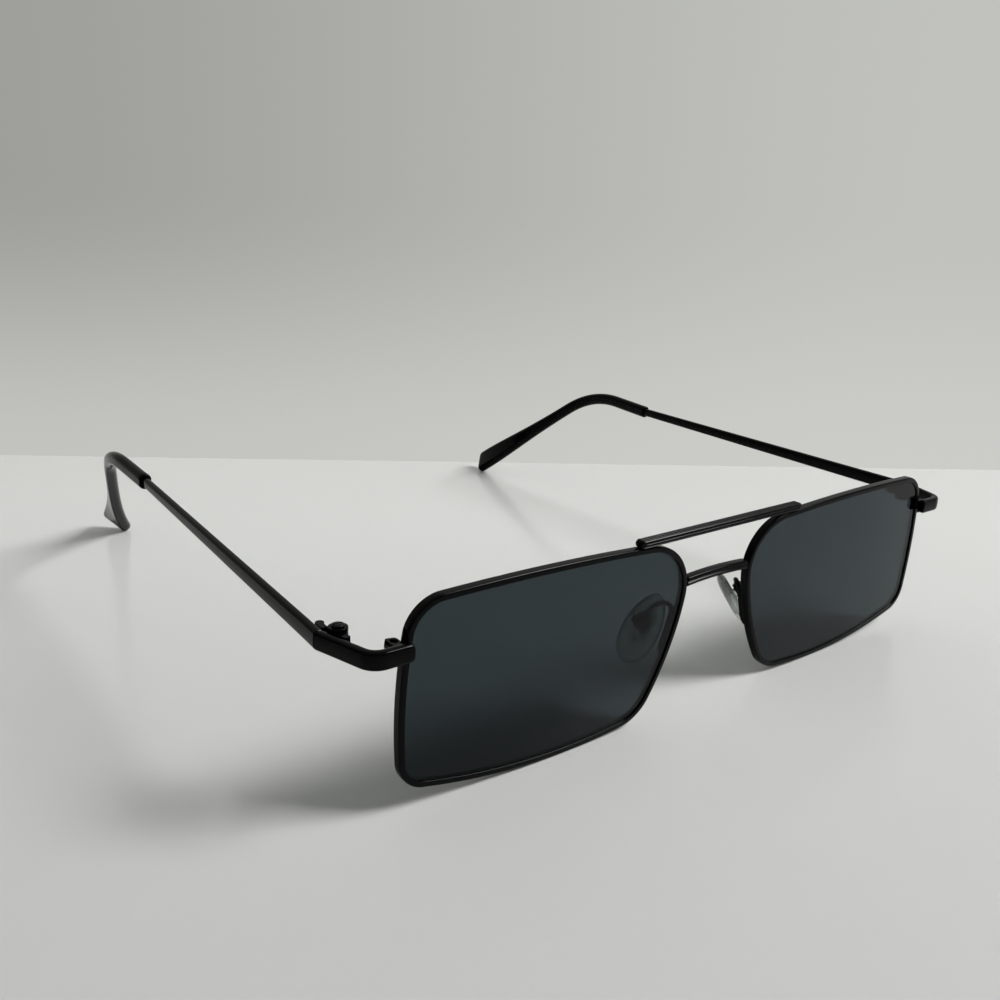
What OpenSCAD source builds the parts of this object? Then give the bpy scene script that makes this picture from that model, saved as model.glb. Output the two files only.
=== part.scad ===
// Slim square metal sunglasses with a double bridge, resting open on a table.
// +Z is up and the table is at z = 0. The lenses face -Y and the temples run towards +Y.
// The two halves mirror each other across x = 0. Lengths are in millimetres, angles in degrees.

/* [Front outline] */
// Width of one rim along its top, from corner to corner
eye_w = 53.6; // [47:0.1:60]
// Height of a rim's outer side, from corner to corner
eye_h = 28.3; // [25:0.1:34]
// Gap between the inner top corners of the two rims
bridge_gap = 14.4; // [12:0.1:20]
// How far a rim's inner side leans away from the nose at its foot
inner_slant = 9.1; // [6:0.1:11]
// How far a rim's outer side leans outwards at its foot
outer_slant = 1.1; // [0:0.1:3]
// Drop of the inner top corner below the outer one
top_fall = 1.3; // [0:0.1:3]
// Drop of the inner bottom corner below the outer one
bottom_fall = 2.9; // [1:0.1:4]
// Bow of the top side
bow_top = 1.0; // [0.4:0.1:2]
// Bow of the inner side
bow_inner = 2.7; // [1.5:0.1:3.5]
// Bow of the bottom side
bow_bottom = 2.2; // [1:0.1:3]
// Bow of the outer side
bow_outer = 1.1; // [0.5:0.1:2]
// Rounding of the outer top corner
round_outer_top = 5.0; // [3:0.1:7]
// Rounding of the inner top corner
round_inner_top = 7.4; // [4:0.1:9]
// Rounding of the inner bottom corner
round_inner_bottom = 4.2; // [3:0.1:7]
// Rounding of the outer bottom corner
round_outer_bottom = 3.6; // [2.5:0.1:6]
// Radius of the front seen from above
front_radius = 870; // [500:10:2000]
// Distance of the front's foremost line from the middle
front_crest = 25; // [10:1:35]
// Forward lean of the front's top
front_lean = 2.15; // [0:0.05:6]

/* [Rims and lenses] */
// Width of the rim wire in the front view
rim_w = 1.0; // [0.8:0.05:1.4]
// Depth of the rim wire from front to back
rim_d = 1.6; // [1.4:0.05:2.2]
// Depth of the lens groove
groove_depth = 0.4; // [0.3:0.05:0.5]
// Half the width of the groove at its mouth
groove_half = 0.45; // [0.3:0.05:0.5]
// Thickness of a lens
lens_t = 1.1; // [1:0.05:1.4]
// Clearance between a lens and its groove
lens_gap = 0.06; // [0.03:0.01:0.1]

/* [Rim locks] */
// Height of the saw cut that opens a rim
lock_z = 25.1; // [22:0.1:27]
// Width of the saw cut
saw_cut = 0.2; // [0.1:0.05:0.4]
// Width of a rim lock, outwards from the rim
lock_w = 1.9; // [1.7:0.1:2.6]
// Depth of a rim lock
lock_d = 2.6; // [2.4:0.1:3.6]
// Height of each half of a rim lock
lock_h = 1.3; // [1.2:0.1:2]
// Radius of the lock screw's shank
lock_screw_r = 0.55; // [0.4:0.05:0.6]
// Radius of the lock screw's head
lock_head_r = 0.85; // [0.8:0.05:1.05]

/* [Bars] */
// Length of the brow bar between its end knobs
brow_len = 38.6; // [34:0.1:44]
// Height of the brow bar
brow_h = 1.2; // [1:0.05:1.6]
// Depth of the brow bar
brow_d = 1.7; // [1.2:0.05:2]
// Depth of the reeds cut along the brow bar
reed_depth = 0.14; // [0.05:0.01:0.2]
// Height of the bridge above the table
bridge_z = 24; // [21:0.1:26]
// Height of the bridge bar
bridge_h = 1.6; // [1.2:0.05:2]
// Depth of the bridge bar
bridge_d = 1.6; // [1.2:0.05:2]
// Radius of the bridge's arch
bridge_arch = 90; // [60:1:200]
// Depth of the groove along the bridge
bridge_groove = 0.25; // [0.1:0.05:0.4]

/* [End pieces] */
// Height of the middle of an end piece where it laps over the rim
end_z = 25.6; // [23:0.1:27]
// Height of an end piece
end_h = 2.75; // [2:0.05:3]
// Thickness of an end piece
end_t = 1.55; // [1.2:0.05:1.8]
// Reach of an end piece over the face of the rim
end_lap = 0.7; // [0.5:0.1:2]
// Gap between an end piece and the rim that it laps over
end_gap = 0.05; // [0.03:0.01:0.1]
// Distance from the rim's outer edge to the start of the bend
end_run = 3.6; // [3:0.1:6]
// Radius of the bend along the middle of the bar
end_bend_r = 2.5; // [2:0.1:4]
// Heading of the bar after its bend, from the X axis
end_heading = 72; // [66:1:80]
// Distance of the seam behind the foremost face
seam_back = 9.9; // [9:0.1:12]
// Gap at the seam between an end piece and its temple
seam_gap = 0.12; // [0.05:0.01:0.3]

/* [Hinges] */
// Radius of a hinge knuckle
knuckle_r = 1.4; // [1.1:0.05:1.5]
// Height of the whole hinge
hinge_h = 3.4; // [3:0.1:4.2]
// Distance of the hinge axis ahead of the seam
hinge_ahead = 0.6; // [0.5:0.05:1.2]
// Thickness of a hinge leaf
leaf_t = 0.9; // [0.7:0.05:1.2]
// Length of the front leaf past the knuckles
front_leaf = 1.4; // [1:0.1:3]
// Length of the rear leaf past the knuckles
rear_leaf = 2; // [1.5:0.1:5]
// Radius of the rib that closes the rear leaf
rib_r = 0.65; // [0.5:0.05:0.8]
// Radius of the hinge screw's shank
hinge_screw_r = 0.55; // [0.4:0.05:0.6]
// Radius of the hinge screw's head
hinge_head_r = 0.9; // [0.8:0.05:1]
// Gap between neighbouring knuckles
knuckle_gap = 0.05; // [0.03:0.01:0.1]
// Clearance of a turning screw in its hole
run_gap = 0.05; // [0.02:0.01:0.09]
// Clearance of a thread drawn as a plain fit
thread_gap = 0.02; // [0.01:0.01:0.04]

/* [Temples] */
// Length of a temple's bare metal bar
shaft_len = 76; // [65:0.5:85]
// Turn of the bar towards the head
shaft_toe_in = 1.86; // [0:0.01:4]
// Rise of the bar towards the ear
shaft_rise = 2.06; // [0:0.01:4]
// Thickness of the bar where the tip starts
shaft_end_t = 1.4; // [1.1:0.05:1.6]
// Height of the bar where the tip starts
shaft_end_h = 1.95; // [1.5:0.05:2.3]
// Length from the start of the tip to the ear bend
tip_lead = 21.8; // [15:0.1:25]
// Turn of that length away from the head
tip_spread = 1.3; // [0:0.1:3]
// Length of the leg behind the ear
leg_len = 47.4; // [40:0.1:55]
// Drop of the leg below the horizontal
leg_drop = 35.1; // [28:0.1:42]
// Turn of the leg towards the head
leg_toe_in = 16.5; // [8:0.1:20]
// Length of the ear bend on each side of its corner
ear_bend = 10; // [6:0.5:14]
// Thickness of the tip at its start
tip_t = 2.4; // [2:0.05:2.8]
// Height of the tip at its start
tip_h = 3; // [2.4:0.05:3.4]
// Thickness of the paddle at the tip's end
paddle_t = 2.6; // [2.2:0.05:3]
// Width of the paddle at the tip's end
paddle_w = 7.4; // [5:0.1:8.5]
// Twist of the paddle to lie flat behind the ear
paddle_twist = 45; // [0:1:60]
// Thickness of the wire core inside the tip
core_t = 0.8; // [0.6:0.05:1]
// Height of the wire core inside the tip
core_h = 1.1; // [0.9:0.05:1.3]
// Clearance between the core and the tip
core_gap = 0.04; // [0.02:0.01:0.1]
// Length of solid tip past the end of the core
core_short = 9; // [6:0.5:15]

/* [Nose pads] */
// Distance of a pad box's middle from the middle of the nose
pad_x = 12.7; // [11:0.1:14]
// Distance of a pad box's middle behind the crest of the front
pad_y = 4.3; // [3.9:0.1:5.5]
// Height of a pad box's middle
pad_z = 16.1; // [13:0.1:17]
// Turn of a pad seen from above
pad_splay = 31; // [25:1:38]
// Tilt of a pad seen from the front
pad_tilt = 38; // [30:1:42]
// Tilt of a pad seen from the side, its foot forwards
pad_lean = 2; // [0:1:14]
// Height of a pad
pad_h = 12.8; // [11:0.1:13.5]
// Drop of a pad's middle below its box
pad_drop = 0.7; // [0:0.1:2]
// Width of a pad
pad_w = 6.3; // [5.5:0.1:7]
// Thickness of a pad
pad_t = 1.9; // [1.7:0.1:2.8]
// Distance from the rocking axis to the back of the pad
pad_back = 1.2; // [1.2:0.05:1.5]
// Radius of the pad box
box_r = 1.55; // [1.4:0.05:1.6]
// Depth of the pad box
box_d = 1.7; // [1.5:0.05:1.8]
// Half the thickness of the pad's tab
tab_half = 0.5; // [0.4:0.05:0.55]
// Radius of the tab's rounded end
tab_r = 0.8; // [0.7:0.05:0.9]
// Gap around the tab in its box
tab_gap = 0.08; // [0.05:0.01:0.12]
// Radius of the pad screw's shank
pad_screw_r = 0.35; // [0.3:0.05:0.4]
// Radius of the pad screw's head
pad_head_r = 0.7; // [0.6:0.05:0.8]
// Radius of the wire of a pad arm
arm_r = 0.4; // [0.35:0.05:0.5]
// Drop of a pad arm's foot on the rim below the pad box
arm_foot = 4.7; // [3:0.1:5]
// Rise of a pad arm's straight leg above the pad box
arm_leg = 1.4; // [1:0.1:2.5]
// Distance of the straight leg behind the rim
arm_back = 0.55; // [0.5:0.1:0.9]
// Reach of the arch that leads over to the box
arm_arch = 2.8; // [2:0.1:3.5]

/* [Hidden] */
eps = 0.01;
braze_gap = 0.04;
metal = [0.05, 0.05, 0.055];

function unit(v) = v / norm(v);
function backwards(list) = [for (i = [len(list) - 1:-1:0]) list[i]];
function mix(a, b, t) = a + t * (b - a);

// Outline of the rim for x > 0, as seen from the front, running counter-clockwise.
// Each side is a shallow parabola between two corners, and each corner is a conic.
corners = [
    [bridge_gap / 2 + eye_w, eye_h],
    [bridge_gap / 2, eye_h - top_fall],
    [bridge_gap / 2 + inner_slant, -bottom_fall],
    [bridge_gap / 2 + eye_w + outer_slant, 0]];
bows = [bow_top, bow_inner, bow_bottom, bow_outer];
rounds = [round_outer_top, round_inner_top, round_inner_bottom, round_outer_bottom];
corner_weight = 0.72;
corner_steps = 6;

function side_run(i) = corners[(i + 1) % 4] - corners[i];
function side_out(i) = let (d = unit(side_run(i))) [d.y, -d.x];
function side_point(i, t) =
    corners[i] + t * side_run(i) + 4 * t * (1 - t) * bows[i] * side_out(i);
function side_slope(i, t) = side_run(i) + 4 * (1 - 2 * t) * bows[i] * side_out(i);
function corner_cut(i) =
    let (a = unit(corners[(i + 3) % 4] - corners[i]), b = unit(corners[(i + 1) % 4] - corners[i]))
    rounds[i] / tan(acos(a * b) / 2);
function side_from(i) = corner_cut(i) / norm(side_run(i));
function side_to(i) = 1 - corner_cut((i + 1) % 4) / norm(side_run(i));
function cross2(a, b) = a.x * b.y - a.y * b.x;
function meet(p, d, q, e) = p + d * cross2(q - p, e) / cross2(d, e);
function conic(a, k, b, w, t) =
    ((1 - t) * (1 - t) * a + 2 * w * t * (1 - t) * k + t * t * b)
    / ((1 - t) * (1 - t) + 2 * w * t * (1 - t) + t * t);
function corner_points(i) =
    let (h = (i + 3) % 4, a = side_point(h, side_to(h)), b = side_point(i, side_from(i)),
        k = meet(a, side_slope(h, side_to(h)), b, side_slope(i, side_from(i))))
    [for (s = [1:corner_steps - 1]) conic(a, k, b, corner_weight, s / corner_steps)];
function side_points(i, from, to, steps) =
    [for (s = [0:steps]) side_point(i, mix(from, to, s / steps))];
// Place along side i where its coordinate c (0 for x, 1 for height) has the value v.
function side_find(i, c, v, t = 0.5, n = 8) =
    n == 0 ? t : side_find(i, c, v, t + (v - side_point(i, t)[c]) / side_slope(i, t)[c], n - 1);

raw_low = min([for (s = [0:60]) side_point(2, s / 60).y]);
cut_at = side_find(3, 1, lock_z + raw_low);
cut_half = saw_cut / 2 / norm(side_run(3));
raw_loop = concat(
    side_points(3, cut_at + cut_half, side_to(3), 2), corner_points(0),
    side_points(0, side_from(0), side_to(0), 9), corner_points(1),
    side_points(1, side_from(1), side_to(1), 8), corner_points(2),
    side_points(2, side_from(2), side_to(2), 9), corner_points(3),
    side_points(3, side_from(3), cut_at - cut_half, 5));
loop = [for (p = raw_loop) p - [0, raw_low]];
last = len(loop) - 1;
loop_out = [for (i = [0:last])
    let (d = unit(loop[min(i + 1, last)] - loop[max(i - 1, 0)])) [d.y, -d.x]];
eye_middle = [for (c = [0, 1]) (max([for (p = loop) p[c]]) + min([for (p = loop) p[c]])) / 2];

function inner_x(z) = side_point(1, side_find(1, 1, z + raw_low)).x;
function outer_x(z) = side_point(3, side_find(3, 1, z + raw_low)).x;
function top_z(x) = side_point(0, side_find(0, 0, x)).y - raw_low;
function front_y(x) = pow(abs(x) - front_crest, 2) / (2 * front_radius);
function leaned(p) = [p.x, p.y * cos(front_lean) - p.z * sin(front_lean),
    p.y * sin(front_lean) + p.z * cos(front_lean)];

// Solid through a list of rings of points, closed by a flat face at each end.
module skin(rings) {
    m = len(rings[0]);
    n = len(rings);
    polyhedron(
        points = [for (r = rings) each r],
        faces = concat(
            [[for (j = [m - 1:-1:0]) j]],
            [for (i = [0:n - 2], j = [0:m - 1])
                let (a = i * m + j, b = i * m + (j + 1) % m)
                each [[a, b, b + m], [a, b + m, a + m]]],
            [[for (j = [0:m - 1]) (n - 1) * m + j]]),
        convexity = 8);
}

function rounded_rect(w, h, r, steps = 2) =
    [for (k = [0:3], i = [0:steps])
        let (a = 90 * k + 90 * i / steps, sx = (k == 0 || k == 3) ? 1 : -1, sy = k < 2 ? 1 : -1)
        [sx * (w / 2 - r) + r * cos(a), sy * (h / 2 - r) + r * sin(a)]];
function round_section(r, sides) = [for (i = [0:sides - 1]) r * [cos(360 * i / sides), sin(360 * i / sides)]];
function twisted(section, a) =
    [for (p = section) [p.x * cos(a) + p.y * sin(a), p.y * cos(a) - p.x * sin(a)]];
function heading(path, i) = unit(path[min(i + 1, len(path) - 1)] - path[max(i - 1, 0)]);
// Ring of a section at point c of a path that heads along t, with side direction l.
function ring(c, t, l, section) = let (u = cross(l, t)) [for (s = section) c + s.x * l + s.y * u];
function level_side(t) = unit([t.y, -t.x, 0]);
function bezier(a, k, b, t) = (1 - t) * (1 - t) * a + 2 * t * (1 - t) * k + t * t * b;

// Draws the half for x > 0, or its mirror image for the wearer's right.
module half(side) {
    if (side < 0) mirror([1, 0, 0]) children();
    else children();
}
module placed() translate([0, -middle_y, 0]) children();
module lean() rotate([front_lean, 0, 0]) children();

// Rims and lenses
rim_edge = 0.3;
rim_bevel = 0.12;
rim_section = backwards([
    [-rim_edge, 0], [-0.29 * rim_edge, 0.29 * rim_edge], [0, rim_edge],
    [0, rim_d - rim_edge], [-0.29 * rim_edge, rim_d - 0.29 * rim_edge], [-rim_edge, rim_d],
    [-rim_w + rim_bevel, rim_d], [-rim_w, rim_d - rim_bevel],
    [-rim_w, rim_d / 2 + groove_half], [-rim_w + groove_depth, rim_d / 2],
    [-rim_w, rim_d / 2 - groove_half], [-rim_w, rim_bevel], [-rim_w + rim_bevel, 0]]);
function on_loop(i, out, back) =
    let (p = loop[i] + out * loop_out[i]) [p.x, front_y(p.x) + back, p.y];

module rim(side) {
    placed() lean() half(side) color(metal)
        skin([for (i = [0:last]) [for (s = rim_section) on_loop(i, s.x, s.y)]]);
}

lens_edge = rim_w + lens_gap;
lens_ridge = rim_w - groove_depth + lens_gap;
// Shares of the way from a lens's middle to its edge at which its faces have a ring.
lens_hub = 0.04;
lens_mid = 0.5;
function lens_ring(out, back) = backwards([for (i = [0:last]) on_loop(i, -out, back)]);
function lens_face(share, back) = backwards([for (i = [0:last])
    let (p = mix(eye_middle, loop[i] - lens_edge * loop_out[i], share))
    [p.x, front_y(p.x) + back, p.y]]);

module lens(side) {
    front = (rim_d - lens_t) / 2;
    rear = (rim_d + lens_t) / 2;
    placed() lean() half(side) color([0.15, 0.17, 0.18, 0.75])
        skin(backwards([
            lens_face(lens_hub, front), lens_face(lens_mid, front), lens_ring(lens_edge, front),
            lens_ring(lens_edge, rim_d / 2 - groove_half), lens_ring(lens_ridge, rim_d / 2),
            lens_ring(lens_edge, rim_d / 2 + groove_half),
            lens_ring(lens_edge, rear), lens_face(lens_mid, rear), lens_face(lens_hub, rear)]));
}

// Rim locks: a brazed block on each end of the split rim, drawn together by a screw
lock_out = let (d = unit(side_slope(3, cut_at))) [d.y, -d.x];
lock_point = side_point(3, cut_at) - [0, raw_low];
lock_axis_x = braze_gap + lock_w / 2;
lock_behind = 1.1;
lock_axis_y = lock_d - lock_behind;
lock_head_h = 0.45;
lock_corner = 0.45;
lock_screw_short = 0.3;
module at_lock() {
    translate([lock_point.x, front_y(lock_point.x), lock_point.y])
        rotate([0, -atan2(lock_out.y, lock_out.x), 0]) children();
}
module lock_block(hole_r) {
    difference() {
        translate([lock_axis_x, lock_d / 2, 0]) linear_extrude(lock_h - saw_cut / 2)
            polygon(rounded_rect(lock_w, lock_d, lock_corner, 3));
        translate([lock_axis_x, lock_axis_y, -eps]) cylinder(r = hole_r, h = lock_h, $fn = 20);
    }
}
module lock_upper(side) {
    placed() lean() half(side) color(metal) at_lock()
        translate([0, 0, saw_cut / 2]) lock_block(lock_screw_r + thread_gap);
}
module lock_lower(side) {
    placed() lean() half(side) color(metal) at_lock()
        translate([0, 0, -lock_h]) lock_block(lock_screw_r + run_gap);
}
module lock_screw(side) {
    placed() lean() half(side) color([0.1, 0.1, 0.1]) at_lock()
        translate([lock_axis_x, lock_axis_y, -lock_h - braze_gap]) {
            cylinder(r = lock_screw_r, h = 2 * lock_h - lock_screw_short, $fn = 20);
            translate([0, 0, -lock_head_h]) slotted_head(lock_head_r, lock_head_h, -1);
        }
}
// Screw head from z = 0 to h, with its slot on the top or, for end = -1, on the underside.
module slotted_head(r, h, end) {
    slot_w = 0.25;
    slot_d = 0.2;
    difference() {
        cylinder(r = r, h = h, $fn = 20);
        translate([-r - eps, -slot_w / 2, end > 0 ? h - slot_d : -eps])
            cube([2 * r + 2 * eps, slot_w, slot_d + eps]);
    }
}

// Brow bar: a reeded bar on the rims' top edges
brow_knob_over = 0.06;
brow_knob_inset = 0.05;
brow_ahead = 0.25;
brow_knob_r = brow_h / 2 + brow_knob_over;
brow_z = top_z(brow_len / 2) + brow_knob_r + braze_gap;
brow_y = front_y(brow_len / 2) + rim_d / 2 - brow_ahead;
module brow_bar() {
    a = brow_d / 2;
    b = brow_h / 2;
    c = 0.2;
    placed() lean() color(metal) translate([0, brow_y, brow_z]) {
        rotate([90, 0, 90]) linear_extrude(brow_len, center = true) polygon(concat(
            [[a - c, -b], [a, -b + c], [a, b - c], [a - c, b]],
            [[a / 3, b], [a / 6, b - reed_depth], [0, b]],
            [[-a / 2, b], [-a * 2 / 3, b - reed_depth], [-a + c, b], [-a, b - c]],
            [[-a, b / 2], [-a + reed_depth, b / 3], [-a, b / 6]],
            [[-a, -b / 4], [-a + reed_depth, -b * 0.4], [-a, -b * 0.55]],
            [[-a + c, -b]]));
        for (s = [-1, 1]) translate([s * brow_len / 2, 0, 0]) rotate([90, 0, 0])
            cylinder(r = brow_knob_r, h = brow_d - 2 * brow_knob_inset, center = true, $fn = 24);
    }
}

// Bridge: an arched bar between the rims' inner sides
bridge_y = front_y(bridge_gap / 2) + rim_d / 2;
module bridge() {
    a = bridge_h / 2;
    b = bridge_d / 2;
    c = 0.3;
    g = bridge_groove;
    above = bridge_h * 1.5;
    low_x = inner_x(bridge_z - above) - braze_gap;
    high_x = inner_x(bridge_z + above) - braze_gap;
    sweep = 2 * asin((low_x + 1) / bridge_arch);
    placed() lean() color(metal) translate([0, bridge_y, 0]) intersection() {
        translate([0, 0, bridge_z - bridge_arch]) rotate([90, 0, 0])
            rotate_extrude(angle = sweep, start = 90 - sweep / 2, $fn = 360)
                translate([bridge_arch, 0]) polygon([
                    [a - c, b], [a, b - c], [a, -b + c], [a - c, -b], [-a + c, -b], [-a, -b + c],
                    [-a, b - c], [-a + c, b], [-g, b], [0, b - g], [g, b]]);
        rotate([90, 0, 0]) linear_extrude(2 * bridge_d, center = true) polygon([
            [-low_x, bridge_z - above], [low_x, bridge_z - above],
            [high_x, bridge_z + above], [-high_x, bridge_z + above]]);
    }
}

// End pieces: flat bars that lap over the rims and bend back to the hinges
end_front = min([for (x = [outer_x(end_z) - end_lap, outer_x(end_z)])
    leaned([x, front_y(x), end_z + end_h / 2]).y]) - end_gap - end_t;
end_mid_y = end_front + end_t / 2;
seam_y = end_front + seam_back;
end_start_x = outer_x(end_z) - end_lap;
bend_x = outer_x(end_z) + end_run;
bend_end = [bend_x + end_bend_r * sin(end_heading),
    end_mid_y + end_bend_r * (1 - cos(end_heading))];
seam_x = bend_end.x + (seam_y - bend_end.y) / tan(end_heading);
end_radius = 0.3;
function end_level(y) = end_z + (y - end_mid_y) * tan(shaft_rise);
seam_z = end_level(seam_y);
seam_t = end_t / sin(end_heading);
end_path = concat(
    [[end_start_x, end_mid_y, 0], [end_start_x + end_radius, end_mid_y, 0]],
    [for (i = [0:8]) let (a = end_heading * i / 8)
        [bend_x + end_bend_r * sin(a), end_mid_y + end_bend_r * (1 - cos(a)), a]],
    [[mix(bend_end.x, seam_x, 0.5), mix(bend_end.y, seam_y, 0.5), end_heading]]);
module end_piece(side) {
    placed() half(side) color(metal) skin(concat(
        [for (i = [0:len(end_path) - 1])
            let (p = end_path[i], shrink = i == 0 ? end_radius : 0, t = [cos(p[2]), sin(p[2]), 0])
            ring([p.x, p.y, end_level(p.y)], t, level_side(t),
                rounded_rect(end_t - shrink, end_h - shrink, end_radius))],
        [ring([seam_x, seam_y, seam_z], [0, 1, 0], [1, 0, 0],
            rounded_rect(seam_t, end_h, end_radius))]));
}

// Hinges: two outer knuckles on the end piece, one on the temple, on an upright screw
hinge_y = seam_y - hinge_ahead;
hinge_x = seam_x - seam_t / 2 - hinge_ahead / tan(end_heading)
    - (knuckle_r + braze_gap) / sin(end_heading);
hinge_low = end_level(hinge_y) - hinge_h / 2;
knuckle_h = (hinge_h - 2 * knuckle_gap) / 3;
module hinge_axis() translate([hinge_x, hinge_y, hinge_low]) children();
leaf_inset = 0.45;
knuckle_relief = 0.12;
module knuckle(from, h) translate([0, 0, from]) cylinder(r = knuckle_r, h = h, $fn = 28);
module hinge_front(side) {
    from_axis = 0.3;
    placed() half(side) color(metal) hinge_axis() difference() {
        union() {
            knuckle(0, knuckle_h);
            knuckle(hinge_h - knuckle_h, knuckle_h);
            rotate([0, 0, end_heading - 90])
                translate([knuckle_r - leaf_t, -knuckle_r - front_leaf, leaf_inset])
                    cube([leaf_t, knuckle_r + front_leaf - from_axis, hinge_h - 2 * leaf_inset]);
        }
        translate([0, 0, knuckle_h])
            cylinder(r = knuckle_r + knuckle_relief, h = knuckle_h + 2 * knuckle_gap, $fn = 28);
        translate([0, 0, -eps]) cylinder(r = hinge_screw_r + thread_gap, h = knuckle_h + 2 * eps, $fn = 20);
        translate([0, 0, hinge_h - knuckle_h - eps])
            cylinder(r = hinge_screw_r + run_gap, h = knuckle_h + 2 * eps, $fn = 20);
    }
}
module hinge_rear(side) {
    from = knuckle_h + knuckle_gap;
    plate_y = knuckle_r + 0.1;
    web_w = knuckle_r - 0.1;
    web_into = 0.5;
    top = hinge_h - 2 * leaf_inset;
    placed() half(side) color(metal) hinge_axis() difference() {
        union() {
            knuckle(from, knuckle_h);
            translate([0, 0, from]) cube([web_w, plate_y + web_into, knuckle_h]);
            translate([seam_x - seam_t / 2 - braze_gap - hinge_x, hinge_ahead + seam_gap, leaf_inset])
                rotate([0, 0, shaft_toe_in]) translate([0, plate_y - hinge_ahead - seam_gap, 0]) {
                    translate([-leaf_t, 0, 0]) cube([leaf_t, rear_leaf, top]);
                    translate([-rib_r, rear_leaf, 0]) cylinder(r = rib_r, h = top, $fn = 20);
                }
        }
        translate([0, 0, from - eps])
            cylinder(r = hinge_screw_r + run_gap, h = knuckle_h + 2 * eps, $fn = 20);
    }
}
hinge_head_h = 0.4;
hinge_screw_up = 0.1;
module hinge_screw(side) {
    placed() half(side) color([0.1, 0.1, 0.1]) hinge_axis() {
        translate([0, 0, hinge_screw_up])
            cylinder(r = hinge_screw_r, h = hinge_h - hinge_screw_up + braze_gap + eps, $fn = 20);
        translate([0, 0, hinge_h + braze_gap]) slotted_head(hinge_head_r, hinge_head_h, 1);
    }
}

// Temples: a tapering bar whose thin core runs on inside the tip
leg_way = [-cos(leg_drop) * sin(leg_toe_in), cos(leg_drop) * cos(leg_toe_in), -sin(leg_drop)];
leg_side = level_side(leg_way);
// Rounded end of the tip: a distance past the last full section, and a share of that section.
tip_round = [[0, 1], [0.9, 0.92], [1.5, 0.72], [1.8, 0.4]];
tip_edge = 0.46;
core_edge = 0.25;
core_root = 2;
function paddle_ring(c, share) = ring(c, leg_way, leg_side,
    twisted(rounded_rect(paddle_t * share, paddle_w * mix(share, 1, 0.35), tip_edge * paddle_t * share, 3),
        paddle_twist));
// The height of the tip's last full section puts the lowest point of its end on the table.
end_rise = -min([for (e = tip_round, p = paddle_ring(e[0] * leg_way, e[1])) p.z]);
temple_y = seam_y + seam_gap;
shaft_end = [seam_x - shaft_len * tan(shaft_toe_in), temple_y + shaft_len,
    end_level(temple_y) + shaft_len * tan(shaft_rise)];
ear = [shaft_end.x + tip_lead * sin(tip_spread), shaft_end.y + tip_lead * cos(tip_spread),
    end_rise + leg_len * sin(leg_drop)];
tip_end = ear + leg_len * leg_way;
ear_from = ear - ear_bend * unit(ear - shaft_end);
ear_to = ear + ear_bend * leg_way;
// Stations of the tip: a point and its share of the way down the leg.
tip_way = concat(
    [[shaft_end, 0], [mix(shaft_end, ear_from, 0.6), 0]],
    [for (i = [0:6]) [bezier(ear_from, ear, ear_to, i / 6), 0]],
    [for (f = [0.2, 0.4, 0.55, 0.7, 0.85, 1]) [mix(ear_to, tip_end, f), f]]);
tip_points = [for (s = tip_way) s[0]];
function tip_section(f) = twisted(
    rounded_rect(mix(tip_t, paddle_t, f), mix(tip_h, paddle_w, f * f), tip_edge * mix(tip_t, paddle_t, f), 3),
    paddle_twist * f * f);
tip_rings = concat(
    [for (i = [0:len(tip_way) - 2])
        let (t = heading(tip_points, i)) ring(tip_points[i], t, level_side(t), tip_section(tip_way[i][1]))],
    [for (e = tip_round) paddle_ring(tip_end + e[0] * leg_way, e[1])]);
core_stop = 1 - core_short / (leg_len - ear_bend);
function core_rings(extra, first) = [for (i = [first:len(tip_way) - 1])
    if (tip_way[i][1] <= core_stop)
        let (t = heading(tip_points, i), f = tip_way[i][1])
        ring(tip_points[i], t, level_side(t),
            twisted(rounded_rect(core_t + 2 * extra, core_h + 2 * extra, core_edge), paddle_twist * f * f))];
shaft_edge = 0.45;
seam_blend = 3;
function shaft_section(f) =
    rounded_rect(mix(end_t, shaft_end_t, f), mix(end_h, shaft_end_h, f), mix(end_radius, shaft_edge, f));
module temple(side) {
    way = unit(shaft_end - [seam_x, temple_y, end_level(temple_y)]);
    at_seam = [seam_x, temple_y, end_level(temple_y)];
    placed() half(side) color(metal) {
        skin([
            ring(at_seam, [0, 1, 0], [1, 0, 0], rounded_rect(seam_t, end_h, end_radius)),
            ring(at_seam + seam_blend * way, way, level_side(way), shaft_section(seam_blend / shaft_len)),
            ring(mix(at_seam, shaft_end, 0.5), way, level_side(way), shaft_section(0.5)),
            ring(shaft_end - braze_gap * way, way, level_side(way), shaft_section(1))]);
        skin(concat(
            [ring(shaft_end - core_root * way, way, level_side(way),
                rounded_rect(core_t, core_h, core_edge))],
            core_rings(0, 0)));
    }
}
module temple_tip(side) {
    placed() half(side) color([0.06, 0.06, 0.06]) difference() {
        skin(tip_rings);
        skin(concat(
            [for (r = [core_rings(core_gap, 0)[0]]) [for (p = r) p - [0, 1, 0]]],
            core_rings(core_gap, 0)));
    }
}

// Nose pads: a wire arm on the rim, a box on the arm, and a soft pad on a rocking core
pad_middle = [pad_x, pad_y, pad_z];
pad_front = [-sin(pad_splay) * cos(pad_tilt), -cos(pad_splay), -sin(pad_splay) * sin(pad_tilt)];
pad_tip = [-sin(pad_tilt), 0, cos(pad_tilt)];
pad_up = cos(pad_lean) * pad_tip - sin(pad_lean) * pad_front;
module pad_frame() {
    translate(pad_middle) rotate([0, -pad_tilt, 0]) rotate([90, 0, -90 - pad_splay])
        rotate([0, 0, pad_lean]) children();
}
function rim_rear(z, back) = let (x = inner_x(z) + rim_w / 2) leaned([x, front_y(x) + rim_d + back, z]);
arm_rise = 1.4;
arm_foot_lift = 0.2;
foot = rim_rear(pad_z - arm_foot, braze_gap);
leg_low = rim_rear(pad_z - arm_foot + arm_rise, arm_back);
leg_top = rim_rear(pad_z + arm_leg, arm_back);
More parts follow.
